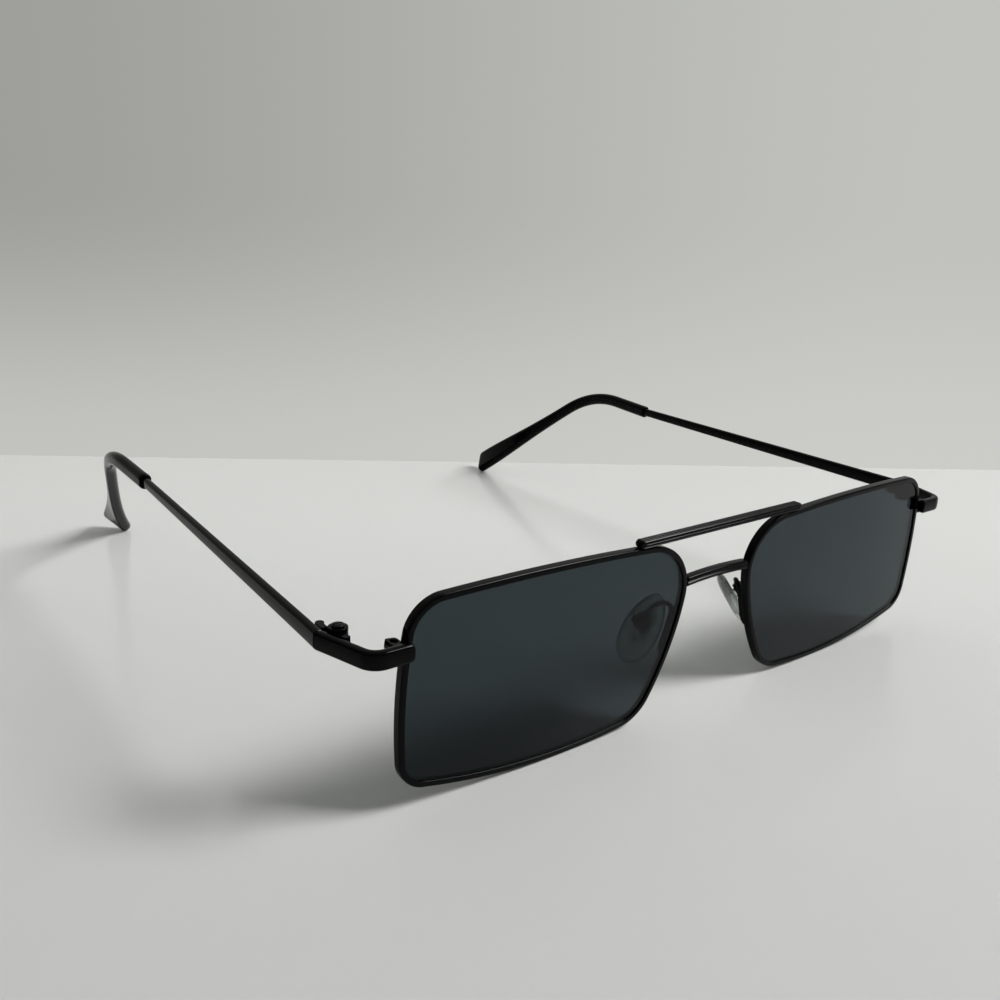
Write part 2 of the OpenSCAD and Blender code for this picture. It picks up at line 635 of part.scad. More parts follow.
arm_end = pad_middle + (box_r + braze_gap) * pad_up;
function cubic(a, b, c, d, t) = pow(1 - t, 3) * a + 3 * t * (1 - t) * (1 - t) * b
    + 3 * t * t * (1 - t) * c + t * t * t * d;
arm_path = concat(
    [foot],
    [for (i = [1:3]) bezier(foot, [foot.x, leg_low.y, foot.z + arm_foot_lift], leg_low, i / 3)],
    [for (i = [0:8]) cubic(leg_top, leg_top + arm_arch * unit(leg_top - leg_low),
        arm_end + arm_arch * pad_up, arm_end, i / 8)]);
module pad_arm(side) {
    placed() half(side) color(metal)
        skin([for (i = [0:len(arm_path) - 1])
            let (t = i == 0 ? leaned([0, 1, 0]) : heading(arm_path, i),
                u = unit(cross([1, 0, 0], t)), l = cross(t, u))
            ring(arm_path[i], t, l, round_section(arm_r, 8))]);
}
pocket_r = tab_r + tab_gap;
pocket_half = tab_half + tab_gap;
box_wall = box_r - 0.1;
module pad_box(side) {
    placed() half(side) color(metal) pad_frame() difference() {
        translate([0, 0, -box_d / 2]) cylinder(r = box_r, h = box_d, $fn = 24);
        rotate([0, 90, 0]) cylinder(r = pocket_r, h = 2 * pocket_half, center = true, $fn = 24);
        translate([-pocket_half, -pocket_r, 0]) cube([2 * pocket_half, 2 * pocket_r, box_d]);
        rotate([0, 90, 0]) cylinder(r = pad_screw_r + thread_gap, h = 4 * box_r, center = true, $fn = 16);
    }
}
module pad_screw(side) {
    head_h = 0.35;
    placed() half(side) color([0.1, 0.1, 0.1]) pad_frame() rotate([0, -90, 0]) {
        translate([0, 0, -box_wall])
            cylinder(r = pad_screw_r, h = box_wall + box_r + braze_gap + eps, $fn = 16);
        translate([0, 0, box_r + braze_gap]) slotted_head(pad_head_r, head_h, 1);
    }
}
core_plate_t = 0.5;
core_plate_w = 3.2;
core_plate_h = 7;
core_inset = 0.5;
neck_half = tab_r - 0.08;
core_plate_from = pad_back + core_inset;
module core_plate(extra) {
    translate([0, 0, core_plate_from - extra]) linear_extrude(core_plate_t + 2 * extra)
        polygon(rounded_rect(core_plate_w + 2 * extra, core_plate_h + 2 * extra, core_plate_w / 2 - eps, 6));
}
module pad_core(side) {
    placed() half(side) color([0.85, 0.87, 0.88]) pad_frame() difference() {
        union() {
            core_plate(0);
            rotate([0, 90, 0]) cylinder(r = tab_r, h = 2 * tab_half, center = true, $fn = 24);
            translate([-tab_half, -neck_half, 0])
                cube([2 * tab_half, 2 * neck_half, core_plate_from + eps]);
        }
        rotate([0, 90, 0]) cylinder(r = pad_screw_r + run_gap, h = 4, center = true, $fn = 16);
    }
}
// Outline of a pad: an oval that is a little broader at its foot.
pad_sides = 24;
pad_broad = 0.12;
function pad_outline(share) = [for (i = [0:pad_sides - 1])
    let (a = -360 * i / pad_sides, broad = 1 - pad_broad * sin(a))
    share * [pad_w / 2 * broad * cos(a), pad_h / 2 * sin(a)] - [0, pad_drop]];
// Layers through a pad: a share of its thickness, and a share of its outline.
pad_layers = [[0, 0.8], [0.12, 0.92], [0.35, 1], [0.6, 0.97], [0.82, 0.83], [0.95, 0.6], [1, 0.3]];
module nose_pad(side) {
    placed() half(side) color([0.92, 0.94, 0.95, 0.5]) pad_frame() difference() {
        skin([for (l = pad_layers) [for (p = pad_outline(l[1])) [p.x, p.y, pad_back + pad_t * l[0]]]]);
        core_plate(core_gap);
        translate([-tab_half - core_gap, -neck_half - core_gap, 0])
            cube([2 * tab_half + 2 * core_gap, 2 * neck_half + 2 * core_gap, core_plate_from + eps]);
    }
}

// The origin lies below the middle of the whole object.
front_end = end_front;
rear_end = max([for (r = tip_rings, p = r) p.y]);
middle_y = (front_end + rear_end) / 2;
echo(middle_y = middle_y, hinge = [hinge_x, hinge_y - middle_y, hinge_low + hinge_h / 2],
    pad = [pad_x, pad_y - middle_y, pad_z], pad_axis = cos(pad_lean) * pad_front + sin(pad_lean) * pad_tip);

rim(-1);  // rim_right
rim(1);  // rim_left
lens(-1);  // lens_right
lens(1);  // lens_left
lock_upper(-1);  // lock_upper_right
lock_upper(1);  // lock_upper_left
lock_lower(-1);  // lock_lower_right
lock_lower(1);  // lock_lower_left
lock_screw(-1);  // lock_screw_right
lock_screw(1);  // lock_screw_left
brow_bar();
bridge();
end_piece(-1);  // end_piece_right
end_piece(1);  // end_piece_left
hinge_front(-1);  // hinge_front_right
hinge_front(1);  // hinge_front_left
hinge_rear(-1);  // hinge_rear_right
hinge_rear(1);  // hinge_rear_left
hinge_screw(-1);  // hinge_screw_right
hinge_screw(1);  // hinge_screw_left
temple(-1);  // temple_right
temple(1);  // temple_left
temple_tip(-1);  // temple_tip_right
temple_tip(1);  // temple_tip_left
pad_arm(-1);  // pad_arm_right
pad_arm(1);  // pad_arm_left
pad_box(-1);  // pad_box_right
pad_box(1);  // pad_box_left
pad_screw(-1);  // pad_screw_right
pad_screw(1);  // pad_screw_left
pad_core(-1);  // pad_core_right
pad_core(1);  // pad_core_left
nose_pad(-1);  // nose_pad_right
nose_pad(1);  // nose_pad_left
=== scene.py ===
# %% [markdown]
# A pair of slim square metal sunglasses, resting open on a pale table.
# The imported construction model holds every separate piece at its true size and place.
# Blender builds a finer visible mesh for each of those pieces, from the same few driving
# dimensions, and gives it its finish. The frame itself is never moved.

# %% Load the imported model
import math

import bmesh
import bpy
import numpy as np
from mathutils import Matrix, Vector


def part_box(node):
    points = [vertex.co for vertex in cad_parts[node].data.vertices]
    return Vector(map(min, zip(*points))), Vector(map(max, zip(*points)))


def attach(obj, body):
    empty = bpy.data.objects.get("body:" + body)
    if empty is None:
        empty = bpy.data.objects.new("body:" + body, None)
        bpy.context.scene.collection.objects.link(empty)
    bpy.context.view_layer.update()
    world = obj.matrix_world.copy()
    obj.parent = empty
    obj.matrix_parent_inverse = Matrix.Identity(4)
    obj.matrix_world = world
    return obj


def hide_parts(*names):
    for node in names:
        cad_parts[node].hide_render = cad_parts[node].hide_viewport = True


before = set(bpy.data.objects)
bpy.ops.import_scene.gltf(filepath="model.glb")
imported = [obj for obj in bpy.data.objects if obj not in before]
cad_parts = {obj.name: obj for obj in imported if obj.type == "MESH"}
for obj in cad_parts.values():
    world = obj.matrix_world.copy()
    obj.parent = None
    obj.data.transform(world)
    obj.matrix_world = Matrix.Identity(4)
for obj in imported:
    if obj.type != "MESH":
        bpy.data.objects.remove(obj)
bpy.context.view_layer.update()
MM = 0.001
SIDES = (("right", -1), ("left", 1))

# %% [markdown]
# The photograph was taken from in front and above, from the wearer's right.
# A camera that was fitted to the outlines of both rims and both temples gives the lens and
# the place below. A camera looks along its own minus Z, so its axes are worked out from the
# viewing angles and written into one matrix.

# %% Camera
VIEW_AZIMUTH = -37.815
VIEW_ELEVATION = 16.934
VIEW_ROLL = 1.977
LENS_MM = 35.446
SENSOR_MM = 36.0
CAMERA_AT = Vector((-0.125055, -0.172951, 0.082718))


def camera_axes(azimuth, elevation, roll):
    """Right, up and back directions of a camera, from its angles in degrees."""
    a, e, r = (math.radians(x) for x in (azimuth, elevation, roll))
    back = Vector((math.sin(a) * math.cos(e), -math.cos(a) * math.cos(e), math.sin(e)))
    level_right = Vector((math.cos(a), math.sin(a), 0))
    level_up = back.cross(level_right)
    right = level_right * math.cos(r) + level_up * math.sin(r)
    up = level_up * math.cos(r) - level_right * math.sin(r)
    return right, up, back


def add_camera():
    data = bpy.data.cameras.new("camera")
    data.lens = LENS_MM
    data.sensor_width = SENSOR_MM
    data.clip_start = 0.01
    data.clip_end = 20
    camera = bpy.data.objects.new("camera", data)
    bpy.context.scene.collection.objects.link(camera)
    axes = Matrix(camera_axes(VIEW_AZIMUTH, VIEW_ELEVATION, VIEW_ROLL)).transposed()
    camera.matrix_world = Matrix.Translation(CAMERA_AT) @ axes.to_4x4()
    bpy.context.scene.camera = camera


add_camera()
bpy.context.scene.view_settings.view_transform = "Standard"
print("camera height above the table:", round(CAMERA_AT.z / MM, 1), "mm")

# %% [markdown]
# Lengths below are in millimetres, as they are on a drawing of the frame.
# Each rim is one wire bent round its lens. Four shallow parabolas make its sides, and a
# conic rounds each corner. A conic is used and not an arc, because bent wire eases into a
# corner instead of turning at one radius. The outline is for the wearer's left and is
# mirrored for the right.

# %% Outline of a rim
EYE_W = 53.6
EYE_H = 28.3
BRIDGE_GAP = 14.4
INNER_SLANT = 9.1
OUTER_SLANT = 1.1
TOP_FALL = 1.3
BOTTOM_FALL = 2.9
CORNERS = np.array([
    [BRIDGE_GAP / 2 + EYE_W, EYE_H],
    [BRIDGE_GAP / 2, EYE_H - TOP_FALL],
    [BRIDGE_GAP / 2 + INNER_SLANT, -BOTTOM_FALL],
    [BRIDGE_GAP / 2 + EYE_W + OUTER_SLANT, 0.0]])
BOWS = (1.0, 2.7, 2.2, 1.1)
CORNER_ROUNDS = (5.0, 7.4, 4.2, 3.6)
CORNER_WEIGHT = 0.72
CORNER_STEPS = 22
SIDE_STEPS = (48, 26, 46)
STEPS_ABOVE_CUT, STEPS_BELOW_CUT = 6, 22
LOCK_Z = 25.1
SAW_CUT = 0.2
TOP_SIDE, INNER_SIDE, BOTTOM_SIDE, OUTER_SIDE = range(4)


def unit(v):
    v = np.asarray(v, float)
    return v / np.linalg.norm(v, axis=-1, keepdims=True)


def side_run(i):
    return CORNERS[(i + 1) % 4] - CORNERS[i]


def side_out(i):
    along = unit(side_run(i))
    return np.array([along[1], -along[0]])


def side_point(i, t):
    t = np.asarray(t, float)[..., None]
    return CORNERS[i] + t * side_run(i) + 4 * t * (1 - t) * BOWS[i] * side_out(i)


def side_slope(i, t):
    return side_run(i) + 4 * (1 - 2 * t) * BOWS[i] * side_out(i)


def side_find(i, c, value):
    """Place along side i where its x (c = 0) or height (c = 1) has a value."""
    t = 0.5
    for _ in range(8):
        t += (value - side_point(i, t)[c]) / side_slope(i, t)[c]
    return t


def corner_cut(i):
    a, b = unit(CORNERS[i - 1] - CORNERS[i]), unit(CORNERS[(i + 1) % 4] - CORNERS[i])
    return CORNER_ROUNDS[i] / math.tan(math.acos(a @ b) / 2)


def side_from(i):
    return corner_cut(i) / np.linalg.norm(side_run(i))


def side_to(i):
    return 1 - corner_cut((i + 1) % 4) / np.linalg.norm(side_run(i))


def cross2(a, b):
    return a[0] * b[1] - a[1] * b[0]


def corner_points(i):
    before = (i + 3) % 4
    a, b = side_point(before, side_to(before)), side_point(i, side_from(i))
    d, e = side_slope(before, side_to(before)), side_slope(i, side_from(i))
    knee = a + d * cross2(b - a, e) / cross2(d, e)
    t = np.arange(1, CORNER_STEPS)[:, None] / CORNER_STEPS
    w = 2 * CORNER_WEIGHT * t * (1 - t)
    return ((1 - t) ** 2 * a + w * knee + t ** 2 * b) / ((1 - t) ** 2 + w + t ** 2)


def side_points(i, start, stop, count):
    return side_point(i, np.linspace(start, stop, count))


low = side_points(BOTTOM_SIDE, 0, 1, 61)[:, 1].min()
cut_at = side_find(OUTER_SIDE, 1, LOCK_Z + low)
cut_half = SAW_CUT / 2 / np.linalg.norm(side_run(OUTER_SIDE))
runs = [side_points(OUTER_SIDE, cut_at + cut_half, side_to(OUTER_SIDE), STEPS_ABOVE_CUT)]
for i, count in zip((TOP_SIDE, INNER_SIDE, BOTTOM_SIDE), SIDE_STEPS):
    runs += [corner_points(i), side_points(i, side_from(i), side_to(i), count)]
runs += [corner_points(OUTER_SIDE),
         side_points(OUTER_SIDE, side_from(OUTER_SIDE), cut_at - cut_half, STEPS_BELOW_CUT)]
outline = np.vstack(runs) - [0, low]
along = unit(np.gradient(outline, axis=0))
outline_out = np.stack([along[:, 1], -along[:, 0]], -1)
print("rim outline:", len(outline), "points,", np.round(np.ptp(outline, axis=0), 1), "mm")

# %% [markdown]
# Seen from above, the front is a shallow curve, and the whole front leans a little, its top
# ahead of its foot. These helpers turn a point of the front view into a point of the real
# object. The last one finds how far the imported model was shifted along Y, by comparing one
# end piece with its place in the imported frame, so that every mesh lands on its CAD node.

# %% From the drawing to the object
FRONT_RADIUS = 870.0
FRONT_CREST = 25.0
FRONT_LEAN = math.radians(2.15)
END_Z, END_H, END_T, END_LAP, END_GAP = 25.6, 2.75, 1.55, 0.7, 0.05


def front_y(x):
    return (np.abs(x) - FRONT_CREST) ** 2 / (2 * FRONT_RADIUS)


def on_front(points, back):
    """Points of the front view, set on the curved front and moved back from it."""
    points = np.asarray(points, float)
    return np.stack([points[..., 0], front_y(points[..., 0]) + back, points[..., 1]], -1)


def leaned(p):
    p = np.asarray(p, float)
    c, s = math.cos(FRONT_LEAN), math.sin(FRONT_LEAN)
    return np.stack([p[..., 0], p[..., 1] * c - p[..., 2] * s, p[..., 1] * s + p[..., 2] * c], -1)


def inner_x(z):
    return side_point(INNER_SIDE, side_find(INNER_SIDE, 1, z + low))[0]


def outer_x(z):
    return side_point(OUTER_SIDE, side_find(OUTER_SIDE, 1, z + low))[0]


def top_z(x):
    return side_point(TOP_SIDE, side_find(TOP_SIDE, 0, x))[1] - low


lap_x = outer_x(END_Z)
end_front = min(leaned([x, front_y(x), END_Z + END_H / 2])[1] for x in (lap_x - END_LAP, lap_x))
end_front -= END_GAP + END_T
shift_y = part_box("end_piece_left")[0].y / MM - end_front
print("the packed model is shifted along Y by", round(shift_y, 3), "mm")

# %% [markdown]
# Nearly every piece is a cross section carried along a path, so one function makes the
# faces between rings of points. A mesh whose faces all point outwards shades cleanly, so
# the normals are worked out again for each closed shell. Faces that meet at a steep angle
# keep a sharp edge between them, and weighted normals keep the flat faces flat beside
# their small fillets.

# %% Mesh helpers
SHARP_ANGLE = math.radians(38)


def skin(rings):
    """Vertices and faces through rings of equal length, capped at both ends."""
    rings = np.asarray(rings, float)
    n, m = rings.shape[:2]
    faces = []
    for i in range(n - 1):
        a, b = i * m, (i + 1) * m
        faces += [(a + j, a + (j + 1) % m, b + (j + 1) % m, b + j) for j in range(m)]
    faces += [tuple(range(m))[::-1], tuple(range((n - 1) * m, n * m))]
    return rings.reshape(-1, 3), faces


def levels_of(plan, heights):
    """The same outline at several heights, one ring for each."""
    return [np.column_stack([plan, np.full(len(plan), z)]) for z in heights]


def draw(name, shells):
    """An object in millimetres made of closed shells, each with its faces outwards."""
    bm = bmesh.new()
    for points, faces in shells:
        start = [bm.verts.new(p) for p in points]
        made = [bm.faces.new([start[k] for k in face]) for face in faces]
        bmesh.ops.recalc_face_normals(bm, faces=made)
    mesh = bpy.data.meshes.new(name)
    bm.to_mesh(mesh)
    bm.free()
    piece = bpy.data.objects.new(name, mesh)
    bpy.context.scene.collection.objects.link(piece)
    return piece


def set_down(piece, side, lean=False):
    """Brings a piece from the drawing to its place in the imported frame, in metres."""
    matrix = Matrix.Scale(MM, 4) @ Matrix.Translation((0, shift_y, 0))
    if side < 0:
        matrix = matrix @ Matrix.Scale(-1, 4, Vector((1, 0, 0)))
    if lean:
        matrix = matrix @ Matrix.Rotation(FRONT_LEAN, 4, "X")
    piece.data.transform(matrix)
    if side < 0:
        piece.data.flip_normals()
    piece.data.shade_smooth()
    piece.data.set_sharp_from_angle(angle=SHARP_ANGLE)
    even = piece.modifiers.new("even_normals", "WEIGHTED_NORMAL")
    even.keep_sharp = True
    return piece


# %% [markdown]
# Small machined pieces are easier to think of as solids that are joined and cut. A Boolean
# modifier does that. Flat faces that it splits are made whole, and a Bevel modifier breaks
# the sharp edges, as tumbling does in the factory. The result is read back as a plain mesh,
# and points that nearly touch are welded, so that no sliver of a face is left.

# %% Joining and cutting solids
FLAT_ANGLE = math.radians(0.5)
WELD = 0.004
EDGE_SEGMENTS = 2
CROWN, CROWN_STEPS = 0.12, 4


def weld(mesh):
    """Merges points that nearly touch and drops the faces that this leaves without area."""
    bm = bmesh.new()
    bm.from_mesh(mesh)
    bmesh.ops.remove_doubles(bm, verts=bm.verts[:], dist=WELD)
    bmesh.ops.dissolve_degenerate(bm, edges=bm.edges[:], dist=WELD)
    bm.to_mesh(mesh)
    bm.free()
    return mesh


def workshop(name, solids, cutters, edge):
    """One piece fused from solids, with cutters taken away and its edges broken."""
    piece = draw(name, [solids[0]])
    helpers = []
    for operation, shells in (("UNION", solids[1:]), ("DIFFERENCE", cutters)):
        for shell in shells:
            helper = draw(name + "_helper", [shell])
            helpers.append(helper)
            step = piece.modifiers.new(operation.lower(), "BOOLEAN")
            step.operation = operation
            step.solver = "EXACT"
            step.object = helper
    flat = piece.modifiers.new("flat_faces", "DECIMATE")
    flat.decimate_type = "DISSOLVE"
    flat.angle_limit = FLAT_ANGLE
    bevel = piece.modifiers.new("edge", "BEVEL")
    bevel.limit_method = "ANGLE"
    bevel.angle_limit = SHARP_ANGLE
    bevel.width = edge
    bevel.segments = EDGE_SEGMENTS
    bpy.context.view_layer.update()
    evaluated = piece.evaluated_get(bpy.context.evaluated_depsgraph_get())
    mesh = bpy.data.meshes.new_from_object(evaluated)
    mesh.name = name
    piece.modifiers.clear()
    piece.data = weld(mesh)
    for helper in helpers:
        bpy.data.objects.remove(helper)
    return piece


def turn(points, degrees, axis):
    """Points turned about an axis through the origin."""
    rotation = Matrix.Rotation(math.radians(degrees), 3, axis)
    return np.asarray(points, float) @ np.array(rotation).T


def moved(shell, offset=(0, 0, 0), degrees=0, axis="Z"):
    """A shell turned about an axis and then moved."""
    points, faces = shell
    return turn(points, degrees, axis) + np.asarray(offset, float), faces


def circle(r, steps):
    a = np.arange(steps) * 2 * math.pi / steps
    return np.stack([r * np.cos(a), r * np.sin(a)], -1)


def turned(levels, steps):
    """A solid turned on a lathe about Z, from pairs of radius and height."""
    return skin([np.column_stack([circle(r, steps), np.full(steps, z)]) for r, z in levels])


def rod(r, z0, z1, edge=0.0, steps=64):
    """A round bar along Z, its ends rounded by edge."""
    levels = [(r, z0), (r, z1)]
    if edge:
        a = np.radians(np.linspace(0, 90, 5))
        start = [(r - edge + edge * math.sin(k), z0 + edge - edge * math.cos(k)) for k in a]
        levels = start + [(x, z0 + z1 - z) for x, z in start[::-1]]
    return turned(levels, steps)


def rounded_rect(w, h, r, steps=7):
    """Outline of a rectangle with rounded corners, running counter-clockwise."""
    points = []
    for k, (sx, sy) in enumerate(((1, 1), (-1, 1), (-1, -1), (1, -1))):
        a = np.radians(90 * k + 90 * np.arange(steps + 1) / steps)
        x, y = sx * (w / 2 - r), sy * (h / 2 - r)
        points.append(np.stack([x + r * np.cos(a), y + r * np.sin(a)], -1))
    return np.vstack(points)


def crowned(w, h, r):
    """A rounded rectangle whose four sides swell a little in the middle, as drawn bar does."""
    corners = np.split(rounded_rect(w, h, r), 4)
    share = np.linspace(0, 1, CROWN_STEPS + 1)[1:-1, None]
    points = []
    for i, corner in enumerate(corners):
        gap = corners[(i + 1) % 4][0] - corner[-1]
        points += [corner, corner[-1] + share * gap]
    p = np.vstack(points)
    return p * (1 - CROWN * (2 * p[:, ::-1] / [h, w]) ** 2)


def block(low_corner, high_corner, r):
    """A box with rounded upright edges."""
    lo, hi = np.asarray(low_corner, float), np.asarray(high_corner, float)
    plan = rounded_rect(hi[0] - lo[0], hi[1] - lo[1], r, 4) + (lo[:2] + hi[:2]) / 2
    return skin(levels_of(plan, (lo[2], hi[2])))


def filleted(corners, steps=5):
    """Closed outline from corners (x, y, radius), each rounded by an arc of its radius."""
    points = []
    for i, (x, y, r) in enumerate(corners):
        p = np.array([x, y], float)
        a = unit(np.array(corners[i - 1][:2]) - p)
        b = unit(np.array(corners[(i + 1) % len(corners)][:2]) - p)
        if r == 0:
            points.append(p)
            continue
        half = math.acos(np.clip(a @ b, -1, 1)) / 2
        centre = p + unit(a + b) * r / math.sin(half)
        start = p + a * r / math.tan(half) - centre
        sweep = math.copysign(math.pi - 2 * half, cross2(b, a))
        for s in range(steps + 1):
            k = sweep * s / steps
            points.append(centre + [start[0] * math.cos(k) - start[1] * math.sin(k),
                                    start[0] * math.sin(k) + start[1] * math.cos(k)])
    return np.array(points)


def level_side(t):
    return unit([t[1], -t[0], 0])


def ring_at(c, t, l, section):
    """A section set square to direction t at point c, its x along l."""
    u = np.cross(l, t)
    return np.asarray(c) + section[:, :1] * np.asarray(l) + section[:, 1:] * u


print("mesh helpers ready")

# %% [markdown]
# A finish is a few physical facts: how dark the surface is, how much it mirrors, and how
# finely it is uneven. Plated and lacquered metal is never perfectly even, so a fine noise
# varies its roughness and a very shallow bump gives the faint orange peel of the coat.
# Numbers that are the same everywhere are set on the shader itself.

# %% Finishes
CLOUD_SIZE = 8
NOISE_LOW, NOISE_HIGH = 0.35, 0.65
BLACK = (0.001, 0.001, 0.0012)


def add_nodes(material, **kinds):
    tree = material.node_tree
    return {name: tree.nodes.new("ShaderNode" + kind) for name, kind in kinds.items()}


def dial(node, **values):
    """Sets inputs of a node, where an underscore stands for a space."""
    for socket, value in values.items():
        node.inputs[socket.replace("_", " ")].default_value = value


def wire(material, *runs):
    """Links an output of one node to an input of another, once for each run."""
    for giver, output, taker, socket in runs:
        material.node_tree.links.new(giver.outputs[output], taker.inputs[socket])


def finish(name, colour, metallic=0.0, roughness=(0.2, 0.3), grain=1200.0, bump=0.1,
           bump_depth=0.00001, **more):
    """A surface with a fine grain: roughness runs between two values."""
    material = bpy.data.materials.new(name)
    material.use_nodes = True
    shader = material.node_tree.nodes["Principled BSDF"]
    dial(shader, Base_Color=(*colour, 1), Metallic=metallic, **more)
    n = add_nodes(material, place="TexCoord", cloud="TexNoise", spread="MapRange",
                  peel="TexNoise", lift="Bump")
    dial(n["cloud"], Scale=grain / CLOUD_SIZE, Detail=4)
    dial(n["peel"], Scale=grain, Detail=2)
    dial(n["spread"], From_Min=NOISE_LOW, From_Max=NOISE_HIGH,
         To_Min=roughness[0], To_Max=roughness[1])
    dial(n["lift"], Strength=bump, Distance=bump_depth)
    wire(material,
         (n["place"], "Object", n["cloud"], "Vector"),
         (n["place"], "Object", n["peel"], "Vector"),
         (n["cloud"], "Fac", n["spread"], "Value"),
         (n["spread"], "Result", shader, "Roughness"),
         (n["peel"], "Fac", n["lift"], "Height"),
         (n["lift"], "Normal", shader, "Normal"))
    return material


black_plating = finish("black_plating", BLACK, roughness=(0.12, 0.18), grain=1800.0, bump=0.12,
                       IOR=1.17)
black_acetate = finish("black_acetate", BLACK, roughness=(0.1, 0.17), grain=900.0, bump=0.08,
                       IOR=1.15)
dark_screw = finish("dark_screw", (0.02, 0.021, 0.022), metallic=1.0, roughness=(0.22, 0.38),
                    grain=2500.0, bump=0.2)
clear_insert = finish("clear_insert", (0.72, 0.75, 0.74), roughness=(0.06, 0.14), grain=900.0,
                      bump=0.08, IOR=1.47, Transmission_Weight=0.9)
smoke_glass = finish("smoke_glass", (0.038, 0.051, 0.058), roughness=(0.0, 0.03), grain=300.0,
                     bump=0.02, IOR=1.2, Transmission_Weight=1.0)
clear_silicone = finish("clear_silicone", (0.80, 0.82, 0.80), roughness=(0.12, 0.24),
                        grain=700.0, bump=0.1, IOR=1.41, Transmission_Weight=0.9)
FINISHES = {"black_metal": black_plating, "black_tip": black_acetate,
            "dark_steel": dark_screw, "pad_core": clear_insert,
            "smoke_lens": smoke_glass, "clear_pad": clear_silicone}


def fit(piece, body, slot, node):
    """Gives a piece its finish and its body, and hides the node that it stands for."""
    piece.data.materials.append(FINISHES[slot])
    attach(piece, body)
    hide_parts(node)


def dress(kinds, lean=False):
    """Makes every kind of piece on the right side and then on the left.

    A kind is a title, the node it stands for, how it is made, its slot and its body."""
    for word, side in SIDES:
        for title, node, make, slot, body in kinds:
            piece = set_down(make(f"{title}_{word}"), side, lean)
            fit(piece, body.replace("SIDE", word), slot, f"{node}_{word}")


def pair(title, node, shells, slot="black_metal", body="front", lean=False):
    """The same shells, drawn on both sides."""
    dress([(title, node, lambda name: draw(name, shells), slot, body)], lean)


print("finishes:", sorted(m.name for m in FINISHES.values()))

# %% [markdown]
# The rim wire is rolled with a V groove on its inside that holds the lens. It is one
# section carried along the outline, open where the wire is sawn through at the lock. The
# front edge is rounded more than the inner one, which is what draws the thin bright line
# along its top in the photograph.

# %% Rims
RIM_W, RIM_D, GROOVE_DEPTH, GROOVE_HALF = 1.0, 1.6, 0.4, 0.45
RIM_EDGE, RIM_BEVEL, GROOVE_EDGE = 0.3, 0.12, 0.05
rim_section = filleted([
    (0, 0, RIM_EDGE), (0, RIM_D, RIM_EDGE), (-RIM_W, RIM_D, RIM_BEVEL),
    (-RIM_W, RIM_D / 2 + GROOVE_HALF, GROOVE_EDGE),
    (-RIM_W + GROOVE_DEPTH, RIM_D / 2, GROOVE_EDGE),
    (-RIM_W, RIM_D / 2 - GROOVE_HALF, GROOVE_EDGE), (-RIM_W, 0, RIM_BEVEL)])


def rim_rings():
    rings = []
    for point, out in zip(outline, outline_out):
        x = point[0] + rim_section[:, 0] * out[0]
        z = point[1] + rim_section[:, 0] * out[1]
        rings.append(np.column_stack([x, front_y(x) + rim_section[:, 1], z]))
    return rings


pair("rim_wire", "rim", [skin(rim_rings())], lean=True)
print("rim section:", len(rim_section), "points")

# %% [markdown]
# A lens is a thin curved plate with a bevelled ridge all round that sits in the groove.
# Its two faces are rings that shrink towards the middle, so the surface stays smooth and
# the reflections of the table run across it without a break.

# %% Lenses
LENS_T, LENS_GAP, LENS_CHAMFER = 1.1, 0.06, 0.05
LENS_SHARES = np.array([0.02, 0.15, 0.3, 0.45, 0.6, 0.72, 0.84, 0.93, 0.98])
lens_edge = RIM_W + LENS_GAP
lens_ridge = RIM_W - GROOVE_DEPTH + LENS_GAP
eye_middle = (outline.max(0) + outline.min(0)) / 2
glass_edge = outline - lens_edge * outline_out


def lens_ring(share, back):
    return on_front(eye_middle + share * (glass_edge - eye_middle), back)


def lens_rings():
    front, rear = (RIM_D - LENS_T) / 2, (RIM_D + LENS_T) / 2
    face_edge = outline - (lens_edge + LENS_CHAMFER) * outline_out
    ridge = [on_front(face_edge, front),
             on_front(glass_edge, front + LENS_CHAMFER),
             on_front(glass_edge, RIM_D / 2 - GROOVE_HALF),
             on_front(outline - lens_ridge * outline_out, RIM_D / 2),
             on_front(glass_edge, RIM_D / 2 + GROOVE_HALF),
             on_front(glass_edge, rear - LENS_CHAMFER),
             on_front(face_edge, rear)]
    front_face = [lens_ring(s, front) for s in LENS_SHARES]
    return front_face + ridge + [lens_ring(s, rear) for s in LENS_SHARES[::-1]]


pair("lens_glass", "lens", [skin(lens_rings())], slot="smoke_lens", lean=True)
print("lens:", np.round(np.ptp(glass_edge, axis=0), 1), "mm")

# %% [markdown]
# Where the rim is sawn through, a small block is brazed to each end and an upright screw
# draws the two together on the lens. The screw's slot is on the underside, and the tapped
# hole of the upper block shows its end.

# %% Rim locks
LOCK_W, LOCK_D, LOCK_H = 1.9, 2.6, 1.3
LOCK_SCREW_R, LOCK_HEAD_R, LOCK_HEAD_H, LOCK_CORNER = 0.55, 0.85, 0.45, 0.45
LOCK_BEHIND, LOCK_SCREW_SHORT = 1.1, 0.3
BRAZE_GAP, RUN_GAP, THREAD_GAP = 0.04, 0.05, 0.02
SLOT_W, SLOT_D, SLOT_OVER = 0.25, 0.2, 0.1
HEAD_WALL, HEAD_FOOT_IN, HEAD_FOOT_UP, HEAD_STEPS = 0.55, 0.04, 0.05, 48
SHANK_EDGE, SHANK_OVER, SHANK_STEPS = 0.08, 0.1, 40
LOCK_EDGE, SCREW_EDGE, BORE_OVER = 0.12, 0.02, 0.5
lock_along = unit(side_slope(OUTER_SIDE, cut_at))
lock_tilt = -math.degrees(math.atan2(-lock_along[0], lock_along[1]))
lock_point = side_point(OUTER_SIDE, cut_at) - [0, low]
lock_place = np.array([lock_point[0], front_y(lock_point[0]), lock_point[1]])
lock_axis = np.array([BRAZE_GAP + LOCK_W / 2, LOCK_D - LOCK_BEHIND, 0])


